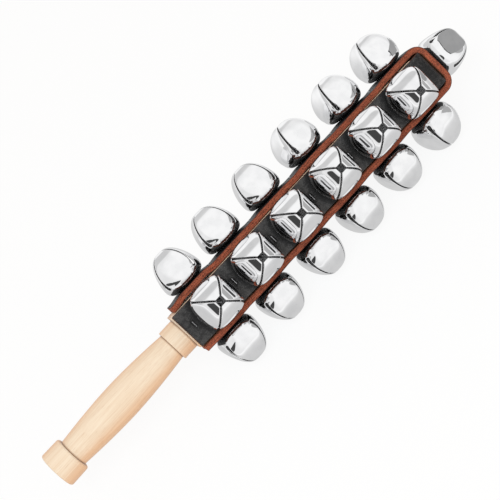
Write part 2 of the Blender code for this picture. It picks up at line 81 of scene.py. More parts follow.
class Slot(Enum):
    """The record's material slots."""

    WOOD = "pale_wood"
    LEATHER = "strap_leather"
    CHROME = "bell_chrome"
    PELLET = "pellet_steel"
    STAPLE = "staple_steel"


class Face(Enum):
    """The four long faces of the stick, with their turn about its axis from the front."""

    FRONT = 0.0
    LEFT = -90.0
    BACK = 180.0
    RIGHT = 90.0

    def names(self, kind: str) -> list[str]:
        """Names of the face's row of pieces of a kind, such as front_bell_1, from the lowest upwards."""
        return [f"{self.name.lower()}_{kind}_{number}" for number in range(1, BELLS_IN_ROW + 1)]

    def turned(self, points: np.ndarray) -> np.ndarray:
        """Points of the front face carried to this face."""
        return rolled(points, self.value)


def rolled(points: np.ndarray, angle: float) -> np.ndarray:
    """Points turned about the stick's axis: x stays, and y and z turn from +y towards +z.

    Args:
        points: Array with x, y and z on its last axis.
        angle: The turn in degrees.

    Returns:
        Array of the same shape.
    """
    turn = math.radians(angle)
    x, y, z = np.moveaxis(points, -1, 0)
    sideways = y * math.cos(turn) - z * math.sin(turn)
    upwards = y * math.sin(turn) + z * math.cos(turn)
    return np.stack([x, sideways, upwards], axis=-1)


def quarter_turn(count: int) -> np.ndarray:
    """Evenly spaced angles from 0 to a right angle, in radians."""
    return np.linspace(0, RIGHT_ANGLE, count)


def full_turn(count: int) -> np.ndarray:
    """Evenly spaced angles of a full turn, in radians, without its end, which is its start."""
    return np.linspace(0, 4 * RIGHT_ANGLE, count, endpoint=False)


def about_axis(radius: np.ndarray, turn: np.ndarray, height: np.ndarray) -> np.ndarray:
    """Points (r cos a, r sin a, h) for a radius, an angle in radians and a height along the axis."""
    return np.stack(np.broadcast_arrays(radius * np.cos(turn), radius * np.sin(turn), height), axis=-1)


def squared_round(half: np.ndarray, power: np.ndarray, turn: np.ndarray) -> np.ndarray:
    """Radius h (|cos a|^p + |sin a|^p)^(-1/p) of a square with rounded corners, a circle where p is 2."""
    total = np.abs(np.cos(turn)) ** power + np.abs(np.sin(turn)) ** power
    return half * total ** (-1 / power)


def path_normals(path: np.ndarray) -> np.ndarray:
    """Unit normals of a flat path, a quarter turn to the left of its way.

    Args:
        path: Array of shape (n, 2).

    Returns:
        Array of the same shape.
    """
    tangent = np.gradient(path, axis=0)
    tangent /= np.linalg.norm(tangent, axis=1, keepdims=True)
    return np.stack([-tangent[:, 1], tangent[:, 0]], 1)


def grid_quads(index: np.ndarray, ring: bool = False) -> np.ndarray:
    """Quads between neighbouring rows and columns of a grid, facing along (columns cross rows).

    Args:
        index: Point numbers, of shape (rows, columns).
        ring: Whether the last column joins the first one.

    Returns:
        Array of shape (faces, 4).
    """
    after = np.roll(index, -1, axis=1)
    here = index if ring else index[:, :-1]
    after = after if ring else after[:, :-1]
    corners = [here[:-1], after[:-1], after[1:], here[1:]]
    return np.stack([corner.ravel() for corner in corners], axis=1)


@dataclass(frozen=True)
class StickSpace:
    """Where the stick lies: the world place of its pommel's end on the axis, and its roll about the axis."""

    start: tuple[float, float, float]
    roll: float = 45.0

    @classmethod
    def from_frame(cls) -> "StickSpace":
        """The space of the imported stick: the axis runs through the middle of the wooden stick's box."""
        low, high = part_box("wooden_stick")
        return cls((low.x, (low.y + high.y) / 2, (low.z + high.z) / 2))

    def to_world(self, points: np.ndarray) -> np.ndarray:
        """World places of points in the stick's frame: rolled about the axis, then moved to the start."""
        return rolled(points, self.roll) + np.array(self.start)

    def bells(self, face: Face) -> np.ndarray:
        """Places along the stick of a face's packed bells, from the lowest upwards."""
        boxes = [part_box(node) for node in face.names("bell")]
        return np.array([(low.x + high.x) / 2 - self.start[0] for low, high in boxes])


@dataclass
class Skin:
    """Points and faces of a surface under construction, with a finish number for each face."""

    points: np.ndarray
    quads: np.ndarray
    finish: np.ndarray
    values: dict[str, np.ndarray] = field(default_factory=dict)

    @classmethod
    def tube(cls, rings: np.ndarray) -> "Skin":
        """A closed tube of one finish: rings in line, of which the first and the last are one point each.

        Args:
            rings: Array of shape (rings, points in a ring, 3).

        Returns:
            The skin, which faces along (round a ring) cross (to the next ring).
        """
        index = np.arange(rings.size // 3).reshape(rings.shape[:2])
        index[[0, -1]] = index[[0, -1], :1]
        quads = grid_quads(index, ring=True)
        return cls(rings.reshape(-1, 3), quads, np.zeros(len(quads)))

    def placed(self, points: np.ndarray) -> "Skin":
        """The same surface with its points elsewhere."""
        return replace(self, points=points)

    def piece(self, name: str, *materials: Material) -> Object:
        """A mesh object of the points that are used; quads that close to a point become triangles.

        Args:
            name: The piece's name.
            materials: Its finishes, in the order of the finish numbers.

        Returns:
            The new object, at the origin.
        """
        used, compact = np.unique(self.quads, return_inverse=True)
        quads = compact.reshape(self.quads.shape)
        closing = quads == np.roll(quads, -1, axis=1)
        whole = ~closing.any(axis=1)
        triangles = quads[~whole][~closing[~whole]].reshape(-1, 3)
        mesh = bpy.data.meshes.new(name)
        mesh.from_pydata(self.points[used], [], quads[whole].tolist() + triangles.tolist())
        for material in materials:
            mesh.materials.append(material)
        finish = np.concatenate([self.finish[whole], self.finish[~whole]])
        mesh.polygons.foreach_set("material_index", finish.astype(np.int32))
        for key, value in self.values.items():
            kind, place = ("FLOAT", "value") if value.ndim == 1 else ("FLOAT_VECTOR", "vector")
            layer = mesh.attributes.new(key, kind, "POINT")
            layer.data.foreach_set(place, value[used].astype(np.float32).ravel())
        mesh.shade_smooth()
        mesh.set_sharp_from_angle(angle=math.radians(SHARP_ANGLE))
        mesh.update()
        return linked(name, mesh)


def linked(name: str, data: ID) -> Object:
    """A new object with this data, linked to the scene.

    Args:
        name: The object's name.
        data: Its mesh, camera or light.

    Returns:
        The object, at the origin.
    """
    made = bpy.data.objects.new(name, data)
    bpy.context.scene.collection.objects.link(made)
    return made


def settle(piece: Object, slot: Slot, *nodes: str, body: str = STICK_BODY) -> None:
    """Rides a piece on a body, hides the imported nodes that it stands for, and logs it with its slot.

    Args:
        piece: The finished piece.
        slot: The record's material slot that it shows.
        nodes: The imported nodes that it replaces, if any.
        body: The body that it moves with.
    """
    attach(piece, body)
    if nodes:
        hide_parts(*nodes)
    LOG.info("%s: %d points, slot %s, on %s", piece.name, len(piece.data.vertices), slot.value, body)


class NodeSheet:
    """A node tree, with short calls that add nodes and join them."""

    def __init__(self, tree: NodeTree) -> None:
        """Takes the tree to draw in."""
        self.tree = tree

    def add(self, kind: str, inputs: dict | None = None, **settings: object) -> Node:
        """A new node.

        Args:
            kind: The node's type, without the ShaderNode prefix.
            inputs: Values or sockets for its inputs, by name or number.
            settings: The node's own properties.

        Returns:
            The node.
        """
        node = self.tree.nodes.new("ShaderNode" + kind)
        for key, value in settings.items():
            setattr(node, key, value)
        for key, value in (inputs or {}).items():
            self.put(node.inputs[key], value)
        return node

    def put(self, target: NodeSocket, value: object) -> None:
        """Sets an input to a value, or links a socket to it.

        Args:
            target: The input.
            value: A plain value, or an output socket.
        """
        if isinstance(value, NodeSocket):
            self.tree.links.new(value, target)
        else:
            target.default_value = value

    def place(self) -> NodeSocket:
        """Object coordinates."""
        return self.add("TexCoord").outputs["Object"]

    def scaled(self, vector: NodeSocket, scale: tuple) -> NodeSocket:
        """A vector multiplied by a scale along each axis."""
        return self.add("Mapping", {"Vector": vector, "Scale": scale}).outputs["Vector"]

    def noise(self, scale: tuple | float, detail: float, vector: NodeSocket | None = None) -> NodeSocket:
        """The grey value of a noise texture.

        Args:
            scale: Its scale along all axes, or along each.
            detail: Its octaves.
            vector: What it lies on, which is object coordinates if none is given.

        Returns:
            The value, about 0.5.
        """
        scales = scale if isinstance(scale, tuple) else (scale,) * 3
        under = self.scaled(self.place() if vector is None else vector, scales)
        return self.add("TexNoise", {"Vector": under, "Scale": 1.0, "Detail": detail}).outputs["Fac"]

    def attribute(self, name: str) -> NodeSocket:
        """The grey value of a mesh attribute."""
        return self.add("Attribute", attribute_name=name).outputs["Fac"]

    def stretch(self, value: object, low: tuple, high: tuple = (0.0, 1.0)) -> NodeSocket:
        """A value mapped smoothly from the range low to the range high, and held at its ends."""
        inputs = {0: value, 1: low[0], 2: low[1], 3: high[0], 4: high[1]}
        return self.add("MapRange", inputs, interpolation_type="SMOOTHSTEP").outputs[0]

    def math(self, operation: str, first: object, second: object = 0.0) -> NodeSocket:
        """The result of a Math node."""
        return self.add("Math", {0: first, 1: second}, operation=operation).outputs[0]

    def weighted(self, *parts: tuple[NodeSocket, float]) -> NodeSocket:
        """The sum of values, each times its weight.

        Args:
            parts: Pairs of a value and its weight.

        Returns:
            The sum.
        """
        total = 0.0
        for value, weight in parts:
            total = self.add("Math", {0: value, 1: weight, 2: total}, operation="MULTIPLY_ADD").outputs[0]
        return total

    def between(self, share: object, first: object, second: object) -> NodeSocket:
        """A number between two numbers, by a share."""
        return self.add("Mix", {0: share, 2: first, 3: second}).outputs[0]

    def blend(self, share: object, first: object, second: object, mode: str = "MIX") -> NodeSocket:
        """A colour between two colours, or their product in mode MULTIPLY, by a share."""
        inputs = {0: share, 6: first, 7: second}
        return self.add("Mix", inputs, data_type="RGBA", blend_type=mode).outputs[2]


class ShaderSheet(NodeSheet):
    """A material's node tree about one Principled shader."""

    def __init__(self, name: str) -> None:
        """Starts a material that holds one Principled shader.

        Args:
            name: The material's name.
        """
        self.material = bpy.data.materials.new(name)
        self.material.use_nodes = True
        super().__init__(self.material.node_tree)
        self.shader = self.tree.nodes["Principled BSDF"]

    def bump(self, height: NodeSocket, depth: float, strength: float) -> None:
        """A bump of this depth, in metres, on the shader's normal."""
        inputs = {"Height": height, "Distance": depth, "Strength": strength}
        self.put(self.shader.inputs["Normal"], self.add("Bump", inputs).outputs["Normal"])

    def shade(self, **inputs: object) -> Material:
        """Sets or links the shader's inputs.

        Args:
            inputs: Values or sockets, named as the inputs are, with underscores.

        Returns:
            The material.
        """
        for key, value in inputs.items():
            self.put(self.shader.inputs[key.replace("_", " ")], value)
        return self.material

    def glow(self, strength: object) -> NodeSocket:
        """A white emission of this strength."""
        return self.add("Emission", {"Color": rgb(1, 1, 1), "Strength": strength}).outputs[0]

    def show(self, surface: NodeSocket) -> Material:
        """Shows a shader in the Principled one's place, and returns the material."""
        self.put(self.tree.nodes["Material Output"].inputs["Surface"], surface)
        return self.material


def rgb(red: float, green: float, blue: float) -> tuple[float, float, float, float]:
    """A linear colour with full opacity."""
    return red, green, blue, 1.0


@dataclass(frozen=True)
class PaleBeech:
    """Sanded pale hardwood: growth rings round a pith beside the stick, fine pores along it, thin lacquer."""

    light: tuple = rgb(0.86, 0.63, 0.43)
    dark: tuple = rgb(0.75, 0.49, 0.30)
    pore: tuple = rgb(0.55, 0.31, 0.16)
    # Painted shade in the inner corners of the turning.
    crease: tuple = rgb(0.30, 0.15, 0.07)
    # Tints of painted light: paler towards the side that faces the lamp and camera as a painted highlight,
    # warmer and darker round the far side as painted shade.
    painted_highlight: tuple = rgb(1.0, 1.15, 1.32)
    painted_shade_tint: tuple = rgb(1.0, 0.90, 0.82)
    ring_width: float = 0.0034
    ring_stretch: tuple = (0.12, 1.0, 1.0)
    pith: tuple = (0.0, 0.031, 0.012)
    streaks: tuple = (16.0, 1300.0, 1300.0)
    clouds: tuple = (22.0, 110.0, 110.0)
    flecks: tuple = (160.0, 2600.0, 2600.0)
    relief: float = 0.00002
    roughness: tuple = (0.36, 0.5)

    def material(self) -> Material:
        """Rings by distance from the pith, bent by noise, then pores, and from the mesh a painted highlight
        on the lit side, painted shade round the far side and painted shade in the corners.

        Returns:
            The material.
        """
        sheet = ShaderSheet("pale_beech")
        mapping = {"Vector": sheet.place(), "Location": self.pith, "Scale": self.ring_stretch}
        wave = {
            "Vector": sheet.add("Mapping", mapping).outputs["Vector"],
            "Scale": 2 * math.pi / (WAVE_PHASE * self.ring_width),
            "Distortion": 6.0,
            "Detail": 3.0,
            "Detail Scale": 0.35,
        }
        rings = sheet.add("TexWave", wave, wave_type="RINGS", rings_direction="X").outputs["Fac"]
        streak = sheet.noise(self.streaks, 5.0)
        cloud = sheet.noise(self.clouds, 2.0)
        tone = sheet.weighted((rings, 0.06), (streak, 0.76), (cloud, 0.18))
        body = sheet.blend(sheet.stretch(tone, (0.25, 0.85)), self.light, self.dark)
        pores = sheet.stretch(sheet.noise(self.flecks, 2.0), (0.60, 0.78), (0.0, 0.4))
        body = sheet.blend(pores, body, self.pore)
        # Painted highlight and shade: paler on the lit side of the handle, warmer and darker round the far
        # side.
        pale = sheet.stretch(sheet.attribute("painted_highlight"), (0.35, 1.0))
        body = sheet.blend(1.0, body, sheet.blend(pale, self.painted_shade_tint, self.painted_highlight), "MULTIPLY")
        # Painted shade in the inner corners, from the mesh.
        body = sheet.blend(sheet.attribute("crease"), body, self.crease)
        sheet.bump(sheet.weighted((streak, 1.0), (pores, -0.8)), self.relief, 0.5)
        rough = sheet.stretch(streak, (0.2, 0.8), self.roughness)
        return sheet.shade(Base_Color=body, Roughness=rough, Coat_Weight=0.15, Coat_Roughness=0.3)


@dataclass(frozen=True)
class StrapLeather:
    """Thick leather: a black grained face, bare cut edges with fibres along them, and a brown flesh side."""

    name: str
    edge_light: tuple
    edge_dark: tuple
    face_low: tuple = rgb(0.006, 0.006, 0.0065)
    face_high: tuple = rgb(0.055, 0.054, 0.055)
    # The grey that the face is painted towards between the bells, as sheen.
    sheen_grey: tuple = rgb(0.085, 0.082, 0.080)
    flesh: tuple = rgb(0.16, 0.075, 0.035)
    grain: float = 1500.0
    clouds: float = 420.0
    scuffs: float = 2600.0
    specks: float = 1900.0
    fibres: tuple = (150.0, 9.0, 0.0)
    relief: float = 0.00006
    roughness: tuple = (0.46, 0.82)

    def material(self) -> Material:
        """Face, cut edge and flesh side, told apart by the mesh's strap_map: way along, depth, and cut share.

        Where the mesh's sheen share is 0, beside the bells, the face is painted darkest as their shade; where
        it is high, between them, it is painted paler and greyer as sheen.

        Returns:
            The material.
        """
        sheet = ShaderSheet(self.name)
        where = sheet.add("Attribute", attribute_name="strap_map").outputs["Vector"]
        parts = sheet.add("SeparateXYZ", {"Vector": where})
        depth, cut = parts.outputs["Y"], parts.outputs["Z"]
        sheen_and_shade = sheet.attribute("sheen_and_shade")
        cells = sheet.add("TexVoronoi", {"Vector": sheet.place(), "Scale": self.grain}, feature="SMOOTH_F1")
        pebble = cells.outputs["Distance"]
        cloud = sheet.noise(self.clouds, 4.0)
        scuff = sheet.noise(self.scuffs, 2.0)
        # Wear from clouds and scuffs, and painted shade: the face is darker beside the bells, where the
        # mesh's share is low.
        wear_and_shade = (
            (cloud, (0.3, 0.7), (0.35, 1.5)),
            (scuff, (0.35, 0.75), (0.3, 1.7)),
            (sheen_and_shade, (0.0, 0.5), (0.3, 1.5)),
        )
        worn_and_shaded = pebble
        for value, low, high in wear_and_shade:
            worn_and_shaded = sheet.math("MULTIPLY", worn_and_shaded, sheet.stretch(value, low, high))
        face = sheet.blend(sheet.stretch(worn_and_shaded, (0.05, 0.9)), self.face_low, self.face_high)
        # Painted sheen: greyer between the bells.
        grey = sheet.math("MULTIPLY", sheen_and_shade, sheet.stretch(cloud, (0.3, 0.7), (0.3, 0.6)))
        face = sheet.blend(grey, face, self.sheen_grey)
        strand = sheet.noise(self.fibres, 5.0, where)
        tone = sheet.weighted((strand, 0.45), (sheet.noise(self.specks, 2.0), 0.55))
        edge = sheet.blend(sheet.stretch(tone, (0.36, 0.62)), self.edge_dark, self.edge_light)
        # The cut edge darkens towards both faces: the black dye's thin line at each face, and painted shade
        # where a bulging edge would turn away from the light.
        rim = sheet.math("ABSOLUTE", sheet.math("SUBTRACT", depth, 0.5))
        edge = sheet.blend(sheet.stretch(rim, (0.3, 0.48), (0.0, 0.85)), edge, self.edge_dark)
        bare = sheet.blend(sheet.stretch(depth, (0.0, 0.06), (1.0, 0.0)), edge, self.flesh)
        mask = sheet.stretch(cut, (0.55, 0.85))
        sheet.bump(sheet.blend(mask, pebble, strand), self.relief, 0.5)
        rough = sheet.stretch(sheet.weighted((cloud, 1.0), (mask, 0.6)), (0.3, 1.2), self.roughness)
        colour = sheet.blend(mask, face, bare)
        return sheet.shade(Base_Color=colour, Roughness=rough, Specular_IOR_Level=0.28)


@dataclass(frozen=True)
class BrightChrome:
    """Bright chrome plate on pressed steel, faintly uneven, with fine wiping marks in its polish."""

    clean: tuple = rgb(0.93, 0.93, 0.935)
    dim: tuple = rgb(0.86, 0.863, 0.87)
    clouds: float = 160.0
    wiping: tuple = (900.0, 4200.0, 2600.0)
    waves: float = 75.0
    relief: float = 0.00025
    roughness: tuple = (0.015, 0.06)

    def material(self) -> Material:
        """Clouds of colour and polish, and slow waves of the pressing as a bump.

        Returns:
            The material.
        """
        sheet = ShaderSheet("bell_chrome")
        cloud = sheet.noise(self.clouds, 3.0)
        colour = sheet.blend(sheet.stretch(cloud, (0.35, 0.7)), self.clean, self.dim)
        polish = sheet.weighted((cloud, 0.5), (sheet.noise(self.wiping, 2.0), 0.5))
        rough = sheet.stretch(polish, (0.35, 0.7), self.roughness)
        sheet.bump(sheet.noise(self.waves, 1.0), self.relief, 0.25)
        return sheet.shade(Base_Color=colour, Roughness=rough, Metallic=1.0)


@dataclass(frozen=True)
class DullInside:
    """The unplated inside of a bell: dull grey steel."""

    low: tuple = rgb(0.46, 0.46, 0.465)
    high: tuple = rgb(0.62, 0.62, 0.625)
    clouds: float = 300.0
    roughness: tuple = (0.35, 0.6)

    def material(self) -> Material:
        """Grey clouds on a rough, mostly metallic surface.

        Returns:
            The material.
        """
        sheet = ShaderSheet("bell_inside")
        cloud = sheet.noise(self.clouds, 4.0)
        colour = sheet.blend(sheet.stretch(cloud, (0.3, 0.7)), self.low, self.high)
        rough = sheet.stretch(cloud, (0.3, 0.7), self.roughness)
        return sheet.shade(Base_Color=colour, Roughness=rough, Metallic=0.7)


@dataclass(frozen=True)
class PlainSteel:
    """Drawn or rolled steel with fine scratches."""

    name: str
    low: tuple
    high: tuple
    scratches: tuple = (700.0, 3600.0, 1600.0)
    relief: float = 0.00003
    roughness: tuple = (0.18, 0.38)

    def material(self) -> Material:
        """Scratches as stretched noise in colour, polish and bump.

        Returns:
            The material.
        """
        sheet = ShaderSheet(self.name)
        scratch = sheet.noise(self.scratches, 3.0)
        colour = sheet.blend(sheet.stretch(scratch, (0.3, 0.7)), self.low, self.high)
        sheet.bump(scratch, self.relief, 0.4)
        rough = sheet.stretch(scratch, (0.3, 0.7), self.roughness)
        return sheet.shade(Base_Color=colour, Roughness=rough, Metallic=1.0)


@dataclass
class WoodenStick:
    """The turned handle with its pommel and collar, and the square core that the straps run over."""

    pommel_length: float = 0.0144
    pommel_end_diameter: float = 0.0256
    pommel_neck_diameter: float = 0.0252
    pommel_round: float = 0.0014
    grip_length: float = 0.0876
    grip_pommel_diameter: float = 0.0193
    grip_swell_diameter: float = 0.0241
    grip_collar_diameter: float = 0.0187
    grip_swell_place: float = 0.0433
    grip_swell_power: float = 1.69
    grip_swell_round: float = 0.2
    collar_length: float = 0.0110
    collar_diameter: float = 0.0224
    collar_round: float = 0.0006
    core_width: float = 0.0256
    core_length: float = 0.2241
    core_corner_power: float = 37.0
    core_tip_round: float = 0.0037
    crease_shade_width: float = 0.0004
    turned_offset: float = -0.00045
    highlight_turn: float = 20.0
    columns_in_quarter: int = 24
    column_crowding: float = 1.8
    end_rings: int = 8
    corner_rings: int = 7
    grip_rings: int = 70
    collar_rings: int = 8
    step_rings: int = 3
    core_rings: int = 60
    tip_rings: int = 4

    @property
    def collar_start(self) -> float:
        """Place of the collar's lower end along the stick."""
        return self.pommel_length + self.grip_length

    @property
    def core_start(self) -> float:
        """Place of the core's lower end along the stick."""
        return self.collar_start + self.collar_length

    def grip(self) -> tuple[np.ndarray, np.ndarray]:
        """The grip's line: its diameter falls from the swell to each end by a power of the way there.

        With s the share of the way, r the swell's roundness and p the power, the fall is (s^2 + r^2)^(p/2),
        shifted and scaled to run from 0 to 1, so that it is smooth over the swell.

        Returns:
            Places along the stick, and radii.
        """
        way = np.linspace(0.0, self.grip_length, self.grip_rings) - self.grip_swell_place
        below = way < 0
        run = np.where(below, self.grip_swell_place, self.grip_length - self.grip_swell_place)
        end = np.where(below, self.grip_pommel_diameter, self.grip_collar_diameter)
        rounded = ((way / run) ** 2 + self.grip_swell_round**2) ** (self.grip_swell_power / 2)
        least = self.grip_swell_round**self.grip_swell_power
        most = (1 + self.grip_swell_round**2) ** (self.grip_swell_power / 2)
        fall = (self.grip_swell_diameter - end) * (rounded - least) / (most - least)
        return self.pommel_length + self.grip_swell_place + way, (self.grip_swell_diameter - fall) / 2

    def corner(self, x: float, radius: float, size: float, rising: bool) -> tuple[np.ndarray, np.ndarray]:
        """A rounded corner of the outline: a quarter circle about (x, radius).

        Args:
            x: Place of its middle along the stick.
            radius: Distance of its middle from the axis.
            size: The quarter circle's radius.
            rising: Whether the outline turns outwards there, from an end face to the side.

        Returns:
            Places along the stick, and radii.
        """
        angle = quarter_turn(self.corner_rings) - (RIGHT_ANGLE if rising else 0.0)
        return x + size * np.sin(angle), radius + size * np.cos(angle)

    def turned_line(self) -> np.ndarray:
        """The turned outline from the middle of the pommel's end to the collar's top.

        Returns:
            Rows of places along the stick and of radii, of shape (2, n).
        """
        end = self.pommel_end_diameter / 2 - self.pommel_round
        neck = self.pommel_neck_diameter / 2 - self.pommel_round
        collar = self.collar_diameter / 2 - self.collar_round
        collar_side = self.collar_start + 2 * self.collar_round
        stretches = [
            (np.zeros(self.end_rings), np.linspace(0.0, end, self.end_rings, endpoint=False)),
            self.corner(self.pommel_round, end, self.pommel_round, rising=True),
            self.corner(self.pommel_length - self.pommel_round, neck, self.pommel_round, rising=False),
            self.grip(),
            self.corner(self.collar_start + self.collar_round, collar, self.collar_round, rising=True),
            (
                np.linspace(collar_side, self.core_start, self.collar_rings),
                np.full(self.collar_rings, self.collar_diameter / 2),
            ),
        ]
        return np.concatenate([np.array(stretch) for stretch in stretches], axis=1)

    def core_line(self) -> np.ndarray:
        """The core's outline from the collar's top to the middle of the tip, which has a rounded edge.

        Returns:
            Rows of places along the stick and of half widths, of shape (2, n).
        """
        half = self.core_width / 2
        flat = half - self.core_tip_round
        tip = self.core_start + self.core_length
        bend = tip - self.core_tip_round
        angle = quarter_turn(self.corner_rings)
        places = [
            np.full(self.step_rings, self.core_start),
            np.linspace(self.core_start, bend, self.core_rings),
            bend + self.core_tip_round * np.sin(angle),
            np.full(self.tip_rings, tip),
        ]
        halves = [
            np.linspace(self.collar_diameter / 2, half, self.step_rings + 1)[1:],
            np.full(self.core_rings, half),
            flat + self.core_tip_round * np.cos(angle),
            np.linspace(flat, 0.0, self.tip_rings + 1)[1:],
        ]
        return np.array([np.concatenate(places), np.concatenate(halves)])

    def crease_shading(self, places: np.ndarray, radii: np.ndarray) -> np.ndarray:
        """How much painted shade each ring has: exp(-(d / width)^2) for the distance d to the nearest inner
        corner.

        Args:
            places: Places of the rings along the stick.
            radii: Their radii.

        Returns:
            Shares from 0 to 1.
        """
        corners = (
            (self.pommel_length, self.grip_pommel_diameter / 2),
            (self.collar_start, self.grip_collar_diameter / 2),
            (self.core_start, self.collar_diameter / 2),
        )
        away = np.min([np.hypot(places - x, radii - r) for x, r in corners], axis=0)
        return np.exp(-((away / self.crease_shade_width) ** 2))

    def build(self, space: StickSpace) -> Skin:
        """Rings along the axis: circles on the handle, and squares with rounded corners on the core.

        Args:
            space: Where the stick lies.

        Returns:
            The stick's closed skin.
        """
        turned, core = self.turned_line(), self.core_line()
        count = turned.shape[1]
        x, half = np.concatenate([turned, core], axis=1)[..., None]
        power = np.full_like(x, self.core_corner_power)
        power[:count] = 2.0
        share = np.linspace(-1, 1, self.columns_in_quarter, endpoint=False)
        crowded = np.sign(share) * (1 - (1 - np.abs(share)) ** self.column_crowding)
        turn = (np.arange(4)[:, None] + crowded / 2).ravel()[::-1] * RIGHT_ANGLE
        rings = np.roll(about_axis(squared_round(half, power, turn), turn, x), 1, axis=-1)
        rings[:count, :, 1] += self.turned_offset
        # Painted shade in the handle's inner corners.
        crease = np.zeros(rings.shape[:2])
        crease[:count] = self.crease_shading(*turned)[:, None]
        # Painted highlight: a share that is highest on the side facing the lamp and camera.
        painted_highlight = np.broadcast_to(np.sin(turn + math.radians(self.highlight_turn)), crease.shape)
        skin = Skin.tube(space.to_world(rings))
        skin.values = {"crease": crease.ravel(), "painted_highlight": painted_highlight.ravel()}
        return skin

    def dress(self, space: StickSpace, wood: PaleBeech) -> None:
        """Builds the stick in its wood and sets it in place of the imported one.

        Args:
            space: Where the stick lies.
            wood: Its finish.
        """
        piece = self.build(space).piece("turned_stick", wood.material())
        # Mirrored in the bells, the core would draw pale lines that the photograph doesn't show.
        piece.visible_glossy = False
        settle(piece, Slot.WOOD, "wooden_stick")


@dataclass
class BellShape:
    """One pressed bell: a round base, a foot that swells to a rounded square, four petals and a hole."""

    width: float = 0.0291
    height: float = 0.0263
    widest_height: float = 0.0059
    base_diameter: float = 0.0160
    wall: float = 0.0008
    slit_width: float = 0.0013
    slit_foot_width: float = 0.0024
    slit_start: float = 0.0048
    slit_taper: float = 0.0080
    hole_width: float = 0.0050
    crown_power: float = 1.45
    crown_root: float = 0.40
    foot_power: float = 2.3
    base_plan_power: float = 2.0
    widest_plan_power: float = 2.45
    top_plan_power: float = 8.0
    columns: int = 21
    base_rows: int = 6
    foot_rows: int = 25
    keyhole_rows: int = 12
    crown_rows: int = 29
    rim_steps: int = 6
    samples: int = 3000
    probe: float = 0.00002
    probe_turn: float = 0.001

    def __post_init__(self) -> None:
        """Samples the outline once: a disc, a quarter superellipse for the foot, and the crown.

        The crown's half width is W/2 (1 - u^p)^q at the share u of its height.
        """
        foot = self.base_diameter / 2
        widest = self.width / 2
        swing = quarter_turn(self.samples)
        hole = (self.hole_width + self.wall) / self.width
        top = (1 - hole ** (1 / self.crown_root)) ** (1 / self.crown_power)
        climb = top * np.sin(swing)
        self.half_widths = np.concatenate([
            np.linspace(0, foot, self.samples)[:-1],
            foot + (widest - foot) * np.sin(swing) ** (2 / self.foot_power),
            (widest * (1 - climb**self.crown_power) ** self.crown_root)[1:],
        ])
        self.heights = np.concatenate([
            np.zeros(self.samples - 1),
            self.widest_height * (1 - np.cos(swing) ** (2 / self.foot_power)),
            (self.widest_height + climb * (self.height - self.widest_height))[1:],
        ])
        steps = np.hypot(np.diff(self.half_widths), np.diff(self.heights))
        self.arc = np.concatenate([[0.0], np.cumsum(steps)])

    @property
    def keyhole_radius(self) -> float:
        """Radius of the slit's round foot at the middle of its rim."""
        return (self.slit_foot_width + self.wall) / 2

    def arc_at(self, height: float) -> float:
        """Way along the outline, from the middle of the base, to a height above it."""
        rising = self.samples - 1
        return float(np.interp(height, self.heights[rising:], self.arc[rising:]))

    def surface(self, arc: np.ndarray, turn: np.ndarray) -> np.ndarray:
        """The outer skin: rounded squares of the outline's half width, at the outline's height.

        Their power grows from 2 at the base to the widest height's value, and on to the top's value.

        Args:
            arc: Way along the outline.
            turn: Angle round the bell's axis, in radians.

        Returns:
            Points, with a last axis of 3.
        """
        half = np.interp(arc, self.arc, self.half_widths)
        height = np.interp(arc, self.arc, self.heights)
        foot = np.clip(height / self.widest_height, 0, 1)
        crown = np.clip((height - self.widest_height) / (self.height - self.widest_height), 0, 1)
        power = self.base_plan_power + (self.widest_plan_power - self.base_plan_power) * foot
        power = power + (self.top_plan_power - self.widest_plan_power) * crown
        return about_axis(squared_round(half, power, turn), turn, height)

    def normals(self, arc: np.ndarray, turn: np.ndarray) -> np.ndarray:
        """Unit normals of the outer skin: a small step round the axis cross a small step along the outline.

        Args:
            arc: Way along the outline.
            turn: Angle round the bell's axis, in radians.

        Returns:
            Vectors, with a last axis of 3.
        """
        arc = np.clip(arc, 2 * self.probe, self.arc[-1] - self.probe)
        round_step = self.surface(arc, turn + self.probe_turn) - self.surface(arc, turn - self.probe_turn)
        up_step = self.surface(arc + self.probe, turn) - self.surface(arc - self.probe, turn)
        normal = np.cross(round_step, up_step)
        return normal / np.linalg.norm(normal, axis=-1, keepdims=True)

    def rows(self) -> tuple[np.ndarray, int]:
        """The grid's rows: even on the base, foot and crown, and by a cosine over the keyholes.

        Returns:
            Ways along the outline, and the number of rows up to the slits' start.
        """
        start = self.arc_at(self.slit_start)
        edge = self.base_diameter / 2
        base = np.linspace(0, edge, self.base_rows, endpoint=False)
        foot = np.linspace(edge, start, self.foot_rows)
        swing = np.linspace(0, math.pi, self.keyhole_rows + 1)[1:]
        keyhole = start + self.keyhole_radius * (1 - np.cos(swing))
        crown = np.linspace(keyhole[-1], self.arc[-1], self.crown_rows + 1)[1:]
        return np.concatenate([base, foot, keyhole, crown]), self.base_rows + self.foot_rows

    def half_slit(self, arc: np.ndarray) -> np.ndarray:
        """Half the gap between two petals: a round keyhole, then a wedge that narrows to an even slit.

        Args:
            arc: Way along the outline.

        Returns:
            Half the gap at the middle of the rim.
        """
        radius = self.keyhole_radius
        above = arc - self.arc_at(self.slit_start)
        keyhole = np.sqrt(np.clip(radius**2 - (above - radius) ** 2, 0, None))
        wedge = np.clip(1 - (above - radius) / self.slit_taper, 0, 1)
        narrow = (self.slit_width + self.wall) / 2
        return np.where(above > radius, narrow + (radius - narrow) * wedge, keyhole)

